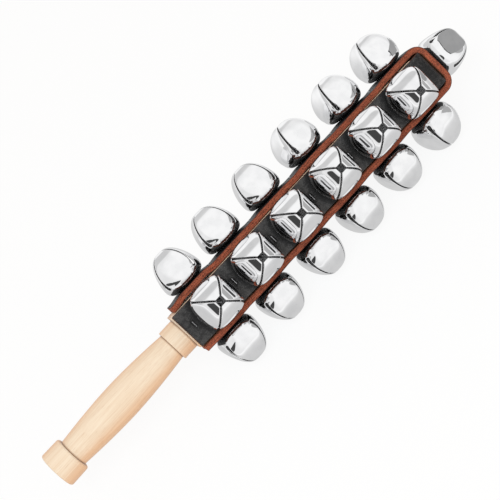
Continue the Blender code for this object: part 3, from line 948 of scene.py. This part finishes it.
    def skin(self) -> Skin:
        """The closed wall of a bell in its own frame: outer skin, inner skin a wall inwards, and a round rim.

        The rim is a half circle of the wall's thickness, carried along the edge of all four petals and slits.

        Returns:
            Points about the middle of the base, with the bell's axis along +z. Finish 1 is the inside.
        """
        arc, whole = self.rows()
        corner = RIGHT_ANGLE / 2
        diagonal = np.linalg.norm(self.surface(arc, np.full_like(arc, corner))[:, :2], axis=1)
        edge = corner - np.arcsin(np.clip(self.half_slit(arc) / np.maximum(diagonal, self.probe), 0, 1))
        share = np.sin(np.linspace(-1, 1, self.columns) * RIGHT_ANGLE)
        turn = np.arange(PETALS)[None, :, None] * RIGHT_ANGLE + edge[:, None, None] * share
        way = np.broadcast_to(arc[:, None, None], turn.shape)
        normal = self.normals(way, turn)
        normal[0] = (0.0, 0.0, -1.0)
        normal = normal.reshape(-1, 3)
        outer = self.surface(way, turn).reshape(-1, 3)
        index = np.arange(turn.size).reshape(turn.shape)
        index[:whole, :, -1] = np.roll(index[:whole, :, 0], -1, axis=1)
        index[0] = index[0, 0, 0]
        outer_quads = np.concatenate([grid_quads(index[:, petal]) for petal in range(PETALS)])
        inner_quads = outer_quads[:, ::-1] + turn.size
        loop = self.rim_loop(index, whole)
        middle = outer[loop] - normal[loop] * self.wall / 2
        rim_points, rim_index = self.rim(middle, normal[loop], loop, turn.size)
        rim_quads = grid_quads(rim_index, ring=True)
        points = np.concatenate([outer, outer - normal * self.wall, rim_points])
        quads = np.concatenate([outer_quads, rim_quads, inner_quads])
        finish = np.zeros(len(quads))
        finish[-len(inner_quads):] = 1
        return Skin(points, quads, finish)

    @staticmethod
    def rim_loop(index: np.ndarray, whole: int) -> np.ndarray:
        """The open edge: up one side of each petal, across its top and down the other side.

        Args:
            index: Point numbers of the outer skin, of shape (rows, petals, columns).
            whole: Number of rows up to the slits' start.

        Returns:
            Point numbers along the edge.
        """
        loops = []
        for petal in range(PETALS):
            up = index[whole - 1:, petal, 0]
            across = index[-1, petal, 1:-1]
            down = index[whole:, petal, -1][::-1]
            loops.append(np.concatenate([up, across, down]))
        return np.concatenate(loops)

    def rim(
        self, middle: np.ndarray, normal: np.ndarray, loop: np.ndarray, inner: int
    ) -> tuple[np.ndarray, np.ndarray]:
        """Half circles round the open edge, in the plane of the normal and the direction out of the metal.

        Args:
            middle: Points of the edge, halfway through the wall.
            normal: Outer normals there.
            loop: The edge's point numbers on the outer skin.
            inner: What to add to them for the inner skin.

        Returns:
            New points, and the point numbers of the whole rim as rows from the outer to the inner skin.
        """
        tangent = np.roll(middle, -1, axis=0) - np.roll(middle, 1, axis=0)
        out = np.cross(normal, tangent)
        out /= np.linalg.norm(out, axis=1, keepdims=True)
        swing = np.linspace(0, math.pi, self.rim_steps + 1)[1:-1, None, None]
        new = middle + self.wall / 2 * (np.cos(swing) * normal + np.sin(swing) * out)
        rows = 2 * inner + np.arange(len(new) * len(loop)).reshape(len(new), len(loop))
        return new.reshape(-1, 3), np.concatenate([loop[None], rows, loop[None] + inner])


@dataclass
class Rivet:
    """The rivet through a bell's base: a domed head inside it, a shank, and a flat tail under the leather."""

    head_diameter: float = 0.0080
    head_thickness: float = 0.0008
    head_side_share: float = 0.35
    shank_diameter: float = 0.0036
    tail_diameter: float = 0.0066
    tail_thickness: float = 0.0007
    edge_round: float = 0.00025
    columns: int = 24
    dome_rings: int = 7

    def skin(self, wall: float, grip: float) -> Skin:
        """A turned line about the bell's axis: tail, shank, and a head with a low side and a dome.

        Args:
            wall: The bell's wall, which the head lies on.
            grip: The thickness between the bell's base and the tail.

        Returns:
            A closed skin in the bell's own frame.
        """
        tail, shank, head = self.tail_diameter / 2, self.shank_diameter / 2, self.head_diameter / 2
        edge = self.edge_round
        bottom = -grip - self.tail_thickness
        below_head = np.array([
            (0.0, bottom), (tail - edge, bottom), (tail, bottom + edge), (tail, -grip - edge),
            (tail - edge, -grip), (shank, -grip), (shank, wall), (head - edge, wall),
        ])
        dome = quarter_turn(self.dome_rings)
        climb = self.head_side_share + (1 - self.head_side_share) * np.sin(dome)
        over_head = np.stack([head * np.cos(dome), wall + self.head_thickness * climb], 1)
        radius, height = np.concatenate([below_head, over_head]).T[..., None]
        return Skin.tube(about_axis(radius, full_turn(self.columns), height))


@dataclass(frozen=True)
class Lean:
    """How a bell sits off square, in degrees: along the stick, across it, and about its own axis."""

    along: float = 0.0
    across: float = 0.0
    twist: float = 0.0

    def applied(self, points: np.ndarray) -> np.ndarray:
        """Points of a bell leaned about the middle of its base: first twisted, then leaned across and along.

        Args:
            points: Array of shape (n, 3) in the bell's own frame.

        Returns:
            Array of the same shape.
        """
        turn = Matrix.Identity(3)
        for angle, axis in ((self.along, "Y"), (self.across, "X"), (self.twist, "Z")):
            turn = turn @ Matrix.Rotation(math.radians(angle), 3, axis)
        return points @ np.array(turn).T


@dataclass
class BellRows:
    """The 24 bells of the four faces and the one at the tip, each on its rivet."""

    shape: BellShape = field(default_factory=BellShape)
    rivet: Rivet = field(default_factory=Rivet)
    seat: float = 0.0186
    grip: float = 0.0048
    tip_seat: float = 0.3474
    tip_grip: float = 0.0093
    leans: dict[Face, tuple[Lean, ...]] = field(default_factory=lambda: {
        Face.FRONT: (
            Lean(2.3, -0.7), Lean(2.8, 0.8), Lean(1.6, -0.7), Lean(3.3, -3.0), Lean(3.1, 1.9), Lean(-2.5, 5.5)
        ),
        Face.LEFT: (Lean(twist=-6), Lean(), Lean(twist=-3), Lean(twist=19), Lean(twist=17), Lean(twist=13)),
        Face.BACK: (Lean(), Lean(twist=8), Lean(twist=-5), Lean(), Lean(twist=14), Lean(twist=3)),
        Face.RIGHT: (Lean(), Lean(twist=-2), Lean(), Lean(twist=-4), Lean(), Lean(twist=-12)),
    })

    def on_face(self, points: np.ndarray, face: Face, along: float) -> np.ndarray:
        """Points of a bell's own frame carried to a face of the stick, at a place along it."""
        return face.turned(points + np.array([along, 0.0, self.seat]))

    def at_tip(self, points: np.ndarray) -> np.ndarray:
        """Points of a bell's own frame carried to the tip, where the bell's axis is the stick's."""
        x, y, z = points.T
        return np.stack([self.tip_seat + z, y, -x], axis=1)

    def dress(self, space: StickSpace, outside: Material, inside: Material) -> None:
        """Sets a finished bell and its rivet in place of each packed bell.

        Args:
            space: Where the stick lies.
            outside: The finish of the plated outside and the rims.
            inside: The finish of the inside.
        """
        bell = self.shape.skin()
        rivet = self.rivet.skin(self.shape.wall, self.grip)
        for face in Face:
            names = (face.names(kind) for kind in ("bell", "jingle", "rivet"))
            for along, lean, node, jingle, pin in zip(space.bells(face), self.leans[face], *names):
                shell = bell.placed(space.to_world(self.on_face(lean.applied(bell.points), face, along)))
                settle(shell.piece(jingle, outside, inside), Slot.CHROME, node)
                shank = rivet.placed(space.to_world(self.on_face(rivet.points, face, along)))
                settle(shank.piece(pin, inside), Slot.CHROME)
        shell = bell.placed(space.to_world(self.at_tip(bell.points)))
        settle(shell.piece("tip_jingle", outside, inside), Slot.CHROME, "tip_bell")
        tip_rivet = self.rivet.skin(self.shape.wall, self.tip_grip)
        shank = tip_rivet.placed(space.to_world(self.at_tip(tip_rivet.points)))
        settle(shank.piece("tip_rivet", inside), Slot.CHROME)


@dataclass(frozen=True)
class EdgeLine:
    """How far a leg's long edges stand out from its middle: at each of its bells, and at its staples."""

    at_bells: tuple[float, ...] = (0.0,) * BELLS_IN_ROW
    at_staples: float = 0.0


@dataclass
class LeatherStrap:
    """A strap up one face, over the tip and down the opposite face, waved between bells and staples."""

    node: str
    faces: tuple[Face, Face]
    width: float
    tip: float
    setback: float
    pitch: float
    slip: float = 0.0
    edges: tuple[EdgeLine, EdgeLine] = (EdgeLine(), EdgeLine())
    thickness: float = 0.0042
    core_half: float = 0.0128
    gap: float = 0.0003
    rise: float = 0.0010
    bend: float = 0.0050
    seat: float = 0.0088
    edge_round: float = 0.0003
    curl_power: float = 3.0
    dent_depth: float = 0.0011
    dent_length: float = 0.0034
    dent_width: float = 0.0011
    bell_half: float = 0.0135
    # Painted shade beside the bells and painted sheen between them: the rim over which the shade fades, and
    # the sheen at the ends, at the tip, in the middle and at the long edges.
    shade_rim: float = 0.0045
    end_sheen: float = 0.6
    tip_sheen: float = 0.3
    middle_sheen: float = 0.55
    edge_sheen: float = 0.65
    end_cut: float = 1.4
    step: float = 0.0010
    dent_points: int = 19
    bend_points: int = 16
    face_points: int = 30
    side_points: int = 5
    side_start: float = 0.06
    corner_points: int = 6

    def staples(self, space: StickSpace) -> dict[Face, np.ndarray]:
        """Places of the strap's staples along the stick: half a pitch below each bell."""
        return {face: space.bells(face) - self.pitch / 2 for face in self.faces}

    def leg(self, bells: np.ndarray, start: float, edge: EdgeLine) -> tuple[np.ndarray, ...]:
        """One leg's inner skin, which stands off by the rise at each bell and falls by a cosine between them.

        It is lowest half a pitch from a bell, where the staples are, and its points lie closer there.

        Args:
            bells: Places of the leg's bells along the stick.
            start: Place of its cut end.
            edge: How the leg's long edges lie.

        Returns:
            Places along the stick, distances from the axis, how far the long edges stand out from those, and
            the share of painted sheen: 0 at the bells, where the leather is painted darkest as their shade, 1
                halfway
            between two of them, and less at its ends.
        """
        near = np.linspace(-2, 2, self.dent_points) * self.dent_width
        dents = (bells[:, None] - self.pitch / 2 + near).ravel()
        end = self.tip - self.bend
        places = np.union1d(np.arange(start, end, self.step), dents)
        places = places[(places >= start) & (places < end)]
        apart = np.abs(places[:, None] - bells)
        away = np.where(places > bells.max(), 0.0, apart.min(axis=1))
        fall = np.clip((away - self.seat) / (self.pitch / 2 - self.seat), 0, 1)
        wave = (1 + np.cos(math.pi * fall)) / 2
        at_bell = np.array(edge.at_bells)[apart.argmin(axis=1)]
        curl = edge.at_staples + (at_bell - edge.at_staples) * wave
        # Painted sheen, palest halfway between two bells, and painted shade, darkest at the bells.
        sheen_and_shade = np.where(places > bells.min(), 1.0, self.end_sheen) * (1 - wave)
        sheen_and_shade = np.where(places > bells.max(), self.tip_sheen, sheen_and_shade)
        return places, self.core_half + self.gap + self.rise * wave, curl, sheen_and_shade

    def path(self, legs: list[np.ndarray]) -> np.ndarray:
        """The middle of the leather: up one leg, round two bends at the tip and down the other leg.

        Args:
            legs: Places of the bells of each leg.

        Returns:
            Rows (along, sideways, stand of the long edges, share of painted sheen and shade), of shape (n,
            4).
        """
        inside = self.core_half + self.gap + self.rise
        radius = self.bend + self.thickness / 2
        swing = quarter_turn(self.bend_points)
        bend_along = self.tip - self.bend + radius * np.sin(swing)
        bend_side = inside - self.bend + radius * np.cos(swing)
        over = np.linspace(bend_side[-1], 0.0, self.bend_points)[1:]
        halves = []
        for bells, slip, edge in zip(legs, (self.slip, -self.slip), self.edges):
            along, out, curl, sheen_and_shade = self.leg(bells, self.setback + slip, edge)
            halves.append(np.stack([
                np.concatenate([along, bend_along, np.full(len(over), bend_along[-1])]),
                np.concatenate([out + self.thickness / 2, bend_side, over]),
                np.concatenate([curl, curl[-1] * np.cos(swing), np.zeros(len(over))]),
                np.concatenate([sheen_and_shade, np.full(len(swing) + len(over), self.tip_sheen)]),
            ], 1))
        return np.concatenate([halves[0], (halves[1] * (1, -1, 1, 1))[-2::-1]])

    def section(self) -> np.ndarray:
        """Half the section, from the left edge over the grained face to the right edge, with round corners.

        Returns:
            Points (across, out) about the middle of the strap, of shape (n, 2).
        """
        half, deep, size = self.width / 2, self.thickness / 2, self.edge_round
        swing = quarter_turn(self.corner_points)
        edge = np.linspace(self.side_start, 1.0, self.side_points, endpoint=False) * (deep - size)
        side = np.concatenate([np.full(self.side_points, half), half - size + size * np.cos(swing)])
        rise = np.concatenate([edge, deep - size + size * np.sin(swing)])
        flat = np.linspace(-1, 1, self.face_points + 2)[1:-1] * (half - size)
        across = np.concatenate([-side, flat, side[::-1]])
        return np.stack([across, np.concatenate([rise, np.full(self.face_points, deep), rise[::-1]])], 1)

    def dents(self, path: np.ndarray, across: np.ndarray, legs: list[np.ndarray]) -> np.ndarray:
        """Depth of the dents under the staples: the sum of d exp(-(x/w)^4 - (y/l)^6) about each staple.

        Args:
            path: Rows (along, sideways) of the path.
            across: Places across the strap, of shape (path points, section points).
            legs: Places of the bells of each leg.

        Returns:
            Depths, of the same shape as across.
        """
        depth = np.zeros(across.shape)
        for bells, side in zip(legs, (1, -1)):
            on_leg = path[:, 1:] * side > self.core_half
            for place in bells - self.pitch / 2:
                fade = ((path[:, :1] - place) / self.dent_width) ** 4 + (across / self.dent_length) ** 6
                depth += np.where(on_leg, self.dent_depth * np.exp(-fade), 0.0)
        return depth

    def clear_of_bells(self, path: np.ndarray, across: np.ndarray, legs: list[np.ndarray]) -> np.ndarray:
        """How much painted sheen may lie: none up to a bell's half width from its middle, where the leather
        stays painted darkest as the bell's shade, then more over a rim.

        Args:
            path: Rows (along, sideways) of the path.
            across: Places across the strap, of shape (path points, section points).
            legs: Places of the bells of each leg.

        Returns:
            Shares from 0 to 1, of the same shape as across.
        """
        bells = np.where(path[:, 1:] > 0, *legs)
        reach = np.min(np.hypot(path[:, :1, None] - bells[:, None], across[..., None]), axis=2)
        return np.clip((reach - self.bell_half) / self.shade_rim, 0, 1)

    def build(self, space: StickSpace) -> Skin:
        """The section carried along the path, with a dent under each staple and rounded cut ends.

        Args:
            space: Where the stick lies.

        Returns:
            The strap's closed skin; strap_map holds way along, depth through the leather, and cut share.
        """
        legs = [space.bells(face) for face in self.faces]
        path, curl, sheen_and_shade = np.split(self.path(legs), [2, 3], axis=1)
        way = np.concatenate([[0.0], np.cumsum(np.linalg.norm(np.diff(path, axis=0), axis=1))])
        ends = np.minimum(way, way[-1] - way)[:, None]
        upper = self.section()
        section = np.concatenate([upper, upper[::-1] * (1, -1)])
        grained = section[:, 1] > 0
        half = np.array([self.width / 2, self.thickness / 2])
        size = self.edge_round
        shrink = size - np.sqrt(np.clip(size**2 - np.clip(size - ends, 0, size) ** 2, 0, None))
        across, out = np.moveaxis(section * (1 - shrink[..., None] / half), 2, 0)
        out = out + curl * np.abs(across / half[0]) ** self.curl_power
        out = out - np.where(grained, self.dents(path, across, legs), 0.0)
        flat = path[:, None] + path_normals(path)[:, None] * out[..., None]
        points = rolled(np.dstack([flat, across]), self.faces[0].value - Face.LEFT.value)
        index = np.arange(across.size).reshape(across.shape)
        start, end = np.stack([index[[0, -1], :len(upper)], index[[0, -1], len(upper):][:, ::-1]], 1)
        quads = np.concatenate([grid_quads(index, ring=True), grid_quads(start)[:, ::-1], grid_quads(end)])
        depth = section[:, 1] / self.thickness + 0.5
        proud = np.clip((np.abs(section[:, 0]) - half[0] + size) / size, 0, 1)
        cut = np.maximum(np.where(grained, proud**2, 1.0), np.clip(self.end_cut - ends / size, 0, 1))
        strap_map = np.stack(np.broadcast_arrays(way[:, None], depth, cut), 2).reshape(-1, 3)
        # Painted sheen, paler towards the long edges, kept off the leather beside the bells, which is painted
        # darkest as their shade.
        sheen_and_shade = sheen_and_shade * (self.middle_sheen + self.edge_sheen * (section[:, 0] / half[0]) ** 2)
        values = {"strap_map": strap_map, "sheen_and_shade": (sheen_and_shade * self.clear_of_bells(path, across, legs)).ravel()}
        return Skin(space.to_world(points).reshape(-1, 3), quads, np.zeros(len(quads)), values)

    def dress(self, space: StickSpace, leather: StrapLeather) -> None:
        """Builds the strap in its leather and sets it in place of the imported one."""
        piece = self.build(space).piece(f"{self.node}_leather", leather.material())
        settle(piece, Slot.LEATHER, self.node)


@dataclass
class Staples:
    """Wire staples across the leather between the bells, with their legs in the core."""

    width: float = 0.0052
    wire: float = 0.0008
    bend: float = 0.0007
    core_half: float = 0.0128
    bite: float = 0.0060
    crown_height: float = 0.0178
    first_sink: float = 0.0013
    leg_points: int = 4
    bend_points: int = 6
    columns: int = 12

    def skin(self) -> Skin:
        """A round wire carried up one leg, round a bend, along the crown and down the other leg.

        Returns:
            A closed skin about x = 0 in the stick's frame, on the front face.
        """
        half = (self.width - self.wire) / 2
        foot = self.core_half - self.bite
        shoulder = self.crown_height - self.wire / 2 - self.bend
        swing = quarter_turn(self.bend_points)
        leg = np.linspace(foot, shoulder, self.leg_points, endpoint=False)
        side = np.concatenate([np.full(self.leg_points, half), half - self.bend + self.bend * np.cos(swing)])
        rise = np.concatenate([leg, shoulder + self.bend * np.sin(swing)])
        path = np.concatenate([np.stack([-side, rise], 1), np.stack([side, rise], 1)[::-1]])
        normal = np.pad(path_normals(path), ((1, 1), (0, 0)), "edge")
        radius = np.pad(np.full((len(path), 1), self.wire / 2), ((1, 1), (0, 0)))
        path = np.pad(path, ((1, 1), (0, 0)), "edge")
        turn = full_turn(self.columns)
        flat = path[:, None] + normal[:, None] * (radius * np.cos(turn))[..., None]
        return Skin.tube(np.dstack([radius * np.sin(turn), flat]))

    def dress(self, space: StickSpace, steel: Material, places: dict[Face, np.ndarray]) -> None:
        """Sets a staple at each place, the first of a face deeper; the front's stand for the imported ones.

        Args:
            space: Where the stick lies.
            steel: The wire's finish.
            places: Places of the staples of each face along the stick.
        """
        wire = self.skin()
        sinks = [self.first_sink] + [0.0] * (BELLS_IN_ROW - 1)
        for face in Face:
            rows = zip(places[face], sinks, face.names("wire_staple"), face.names("staple"))
            for place, sink, name, node in rows:
                points = face.turned(wire.points + np.array([place, 0.0, -sink]))
                nodes = [node] if face is Face.FRONT else []
                settle(wire.placed(space.to_world(points)).piece(name, steel), Slot.STAPLE, *nodes)


@dataclass
class Pellets:
    """The loose steel ball in each bell."""

    diameter: float = 0.0080
    rings: int = 17
    columns: int = 32

    def skin(self, centre: np.ndarray) -> Skin:
        """A ball: latitude by longitude round its middle.

        Args:
            centre: The ball's middle in the world.

        Returns:
            A closed skin.
        """
        rise = np.linspace(-RIGHT_ANGLE, RIGHT_ANGLE, self.rings)[:, None]
        ball = about_axis(np.cos(rise), full_turn(self.columns), np.sin(rise))
        return Skin.tube(centre + self.diameter / 2 * ball)

    def dress(self, steel: Material) -> None:
        """Sets a smooth ball in place of each packed pellet, on the pellet's own body.

        Args:
            steel: The balls' finish.
        """
        nodes = [node for face in Face for node in face.names("pellet")]
        for node in [*nodes, "tip_pellet"]:
            low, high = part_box(node)
            ball = self.skin(np.array((low + high) / 2)).piece(node.replace("pellet", "ball"), steel)
            settle(ball, Slot.PELLET, node, body=node)


@dataclass(frozen=True)
class Panel:
    """A soft-edged oval part of the studio's walls, which the chrome mirrors.

    Its middle is told by two angles from the direction that the front face looks in: towards the tip, and
    towards the left face. So are its half sizes.
    """

    to_tip: float
    to_left: float
    half_tip: float
    half_left: float
    brightness: float
    edge: float

    def axes(self, space: StickSpace) -> list[Vector]:
        """Unit vectors of the panel, worked out in the stick's frame and rolled into the world.

        Args:
            space: Where the stick lies.

        Returns:
            Vectors to its middle, along its tip-ward size and along its left-ward size.
        """
        tip, left = math.radians(self.to_tip), math.radians(self.to_left)
        local = np.array([
            [math.sin(tip), math.cos(tip) * math.sin(left), math.cos(tip) * math.cos(left)],
            [math.cos(tip), -math.sin(tip) * math.sin(left), -math.sin(tip) * math.cos(left)],
            [0.0, math.cos(left), -math.sin(left)],
        ])
        return [Vector(axis) for axis in rolled(local, space.roll)]


@dataclass
class Studio:
    """White floor, pale surroundings with panels for the chrome to mirror, a soft lamp, and the camera."""

    space: StickSpace
    lens: float = 79.92
    sensor: float = 36.0
    near_clip: float = 0.01
    camera_place: tuple = (-0.098239, -0.44299, 0.560669)
    aim: tuple = (-0.008149, 0.0032, 0.038289)
    camera_roll: float = -38.589
    floor_size: float = 12.0
    floor_colour: tuple = rgb(0.88, 0.88, 0.88)
    floor_roughness: float = 0.9
    white_share: float = 0.9
    # The floor's glow in mirrors, near the stick and far off; the dimmer part near the stick is painted
    # shade.
    mirrored_floor: tuple[float, float] = (0.64, 1.0)
    mirrored_reach: tuple[float, float] = (0.02, 0.40)
    mirrored_stretch: tuple[float, float, float] = (0.35, 1.0, 1.0)
    card_brightness: tuple[float, float] = (0.05, 0.36)
    card_sides: tuple[float, float] = (-0.011, 0.040)
    card_right_edges: tuple = ((0.380, 0.0475), (0.381, 0.0445), (0.398, -0.0096))
    card_left_edges: tuple = ((0.377, 0.0565), (0.378, 0.0535), (0.397, -0.0090))
    lamp_place: tuple = (-0.25, -0.45, 0.95)
    lamp_side: float = 0.6
    lamp_power: float = 5.0
    lamp_colour: tuple[float, float, float] = (0.80, 0.93, 1.0)
    soft_light: tuple = rgb(0.80, 0.73, 0.67)
    surround: float = 0.87
    panels: tuple[Panel, ...] = (
        Panel(0.0, 132.0, 80.0, 26.0, brightness=1.0, edge=0.15),
        Panel(-25.0, 98.0, 60.0, 27.0, brightness=0.66, edge=0.15),
        Panel(24.0, 14.0, 40.0, 60.0, brightness=1.0, edge=0.25),
        Panel(80.0, -13.0, 34.0, 16.0, brightness=0.45, edge=0.15),
        Panel(-43.0, -11.0, 28.0, 10.8, brightness=0.06, edge=0.12),
    )

    def looking(self, place: tuple, roll: float = 0.0) -> Matrix:
        """A world matrix that looks from a place at the studio's aim, the middle of the stick.

        Args:
            place: The place in the world.
            roll: The roll about the view, in degrees.

        Returns:
            The matrix.
        """
        look = (Vector(self.aim) - Vector(place)).to_track_quat("-Z", "Y").to_matrix()
        turn = look @ Matrix.Rotation(math.radians(roll), 3, "Z")
        return Matrix.Translation(place) @ turn.to_4x4()

    def add_camera(self) -> None:
        """A camera at the photograph's place, aimed along its axis and rolled about it."""
        data = bpy.data.cameras.new("photo_camera")
        data.lens = self.lens
        data.sensor_width = self.sensor
        data.clip_start = self.near_clip
        camera = linked("photo_camera", data)
        camera.matrix_world = self.looking(self.camera_place, self.camera_roll)
        bpy.context.scene.camera = camera

    def add_floor(self) -> None:
        """A plain white floor: mostly its own white for the camera, the rest lit, so that shadows stay; in
        mirrors it glows, dimmer near the stick as painted shade.
        """
        half = self.floor_size / 2
        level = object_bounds()[0][2]
        corners = [(-half, -half, level), (half, -half, level), (half, half, level), (-half, half, level)]
        mesh = bpy.data.meshes.new("floor")
        mesh.from_pydata(corners, [], [(0, 1, 2, 3)])
        sheet = ShaderSheet("white_floor")
        sheet.shade(Base_Color=self.floor_colour, Roughness=self.floor_roughness)
        rays = sheet.add("LightPath").outputs
        seen = sheet.math("MULTIPLY", rays["Is Camera Ray"], self.white_share)
        share = sheet.math("MAXIMUM", seen, rays["Is Glossy Ray"])
        # Painted shade in mirrors: the floor glows dimmer near the stick than far off.
        place = sheet.scaled(sheet.place(), self.mirrored_stretch)
        away = sheet.add("VectorMath", {0: place}, operation="LENGTH").outputs["Value"]
        mirrored = sheet.stretch(away, self.mirrored_reach, self.mirrored_floor)
        glow = sheet.glow(sheet.between(rays["Is Glossy Ray"], 1.0, mirrored))
        mix = sheet.add("MixShader", {0: share, 1: sheet.shader.outputs[0], 2: glow})
        mesh.materials.append(sheet.show(mix.outputs[0]))
        linked("floor", mesh)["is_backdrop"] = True

    def add_card(self) -> None:
        """A small grey card off the tip with a dark top edge, which only the chrome mirrors."""
        edges = zip(self.card_right_edges, self.card_left_edges)
        corners = np.array([(x, y, z) for edge in edges for y, (x, z) in zip(self.card_sides, edge)])
        mesh = bpy.data.meshes.new("grey_card")
        mesh.from_pydata(self.space.to_world(corners), [], [(0, 1, 3, 2), (2, 3, 5, 4)])
        mesh.polygons.foreach_set("material_index", np.arange(2, dtype=np.int32))
        for name, brightness in zip(("card_edge", "grey_card"), self.card_brightness):
            sheet = ShaderSheet(name)
            mesh.materials.append(sheet.show(sheet.glow(brightness)))
        card = linked("grey_card", mesh)
        card.visible_camera = False
        card.visible_diffuse = False
        card.visible_shadow = False
        card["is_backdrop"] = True

    def add_lamp(self) -> None:
        """A soft square lamp; the chrome mirrors the panels and not the lamp."""
        data = bpy.data.lights.new("soft_lamp", "AREA")
        data.shape = "SQUARE"
        data.size = self.lamp_side
        data.energy = self.lamp_power
        data.color = self.lamp_colour
        lamp = linked("soft_lamp", data)
        lamp.visible_glossy = False
        lamp.matrix_world = self.looking(self.lamp_place)

    def add_world(self) -> None:
        """Pale surroundings: white to the camera, even as light, and with the panels in mirrors.

        With d the direction, c, u and v a panel's axes, and a and b its half sizes, the panel covers the oval
        (d.u / sin a)^2 + (d.v / sin b)^2 < 1 on the side where d.c > 0.
        """
        world = bpy.data.worlds.new("white_studio")
        world.use_nodes = True
        bpy.context.scene.world = world
        sheet = NodeSheet(world.node_tree)
        direction = sheet.place()
        level = self.surround
        for panel in self.panels:
            middle, *sides = (
                sheet.add("VectorMath", {0: direction, 1: axis}, operation="DOT_PRODUCT").outputs["Value"]
                for axis in panel.axes(self.space)
            )
            squares = []
            for side, half in zip(sides, (panel.half_tip, panel.half_left)):
                share = sheet.math("DIVIDE", side, math.sin(math.radians(half)))
                squares.append(sheet.math("MULTIPLY", share, share))
            spread = sheet.math("ADD", *squares)
            mask = sheet.stretch(spread, (1 - panel.edge, 1 + panel.edge), (1.0, 0.0))
            mask = sheet.math("MULTIPLY", mask, sheet.math("GREATER_THAN", middle, 0.0))
            level = sheet.between(mask, level, panel.brightness)
        rays = sheet.add("LightPath").outputs
        mirrored = sheet.add("CombineColor", {0: level, 1: level, 2: level}).outputs[0]
        colour = sheet.blend(rays["Is Glossy Ray"], self.soft_light, mirrored)
        colour = sheet.blend(rays["Is Camera Ray"], colour, rgb(1, 1, 1))
        sheet.put(sheet.tree.nodes["Background"].inputs["Color"], colour)

    def build(self) -> None:
        """Sets up the camera, floor, surroundings, card and lamp."""
        bpy.context.scene.view_settings.view_transform = "Standard"
        self.add_camera()
        self.add_floor()
        self.add_world()
        self.add_card()
        self.add_lamp()


@dataclass
class JingleStick:
    """The whole object: its sub-assemblies and their finishes."""

    space: StickSpace
    wood: WoodenStick = field(default_factory=WoodenStick)
    face_strap: LeatherStrap = field(default_factory=lambda: LeatherStrap(
        "face_strap", (Face.FRONT, Face.BACK), width=0.0252, tip=0.3384, setback=0.1139, pitch=0.0354,
    ))
    side_strap: LeatherStrap = field(default_factory=lambda: LeatherStrap(
        "side_strap", (Face.LEFT, Face.RIGHT), width=0.0250, tip=0.3429, setback=0.1160, pitch=0.0372,
        slip=0.0014,
        edges=(
            EdgeLine(at_bells=(0.0, -0.0012, -0.0009, -0.0006, -0.0012, -0.0004), at_staples=-0.0002),
            EdgeLine(at_staples=0.0007),
        ),
    ))
    # Painted shade: the face strap's cut edges are a darker brown than the side strap's, so that they and
    # their reflections in the bells read as shaded.
    shaded_russet: StrapLeather = StrapLeather(
        "face_strap_leather", edge_light=rgb(0.13, 0.040, 0.022), edge_dark=rgb(0.045, 0.012, 0.008)
    )
    chestnut: StrapLeather = StrapLeather(
        "side_strap_leather", edge_light=rgb(0.45, 0.118, 0.060), edge_dark=rgb(0.09, 0.025, 0.016)
    )
    wire_steel: PlainSteel = PlainSteel("staple_steel", low=rgb(0.32, 0.32, 0.33), high=rgb(0.62, 0.62, 0.63))
    ball_steel: PlainSteel = PlainSteel("pellet_steel", low=rgb(0.42, 0.42, 0.43), high=rgb(0.6, 0.6, 0.61))

    def build(self) -> None:
        """Builds and dresses every sub-assembly in order."""
        self.wood.dress(self.space, PaleBeech())
        self.face_strap.dress(self.space, self.shaded_russet)
        self.side_strap.dress(self.space, self.chestnut)
        BellRows().dress(self.space, BrightChrome().material(), DullInside().material())
        places = self.face_strap.staples(self.space) | self.side_strap.staples(self.space)
        Staples().dress(self.space, self.wire_steel.material(), places)
        Pellets().dress(self.ball_steel.material())


def main() -> None:
    """Builds the stick, then the studio round it."""
    logging.basicConfig(level=logging.INFO, format="%(name)s: %(message)s")
    space = StickSpace.from_frame()
    JingleStick(space).build()
    Studio(space).build()


if __name__ == "__main__":
    main()
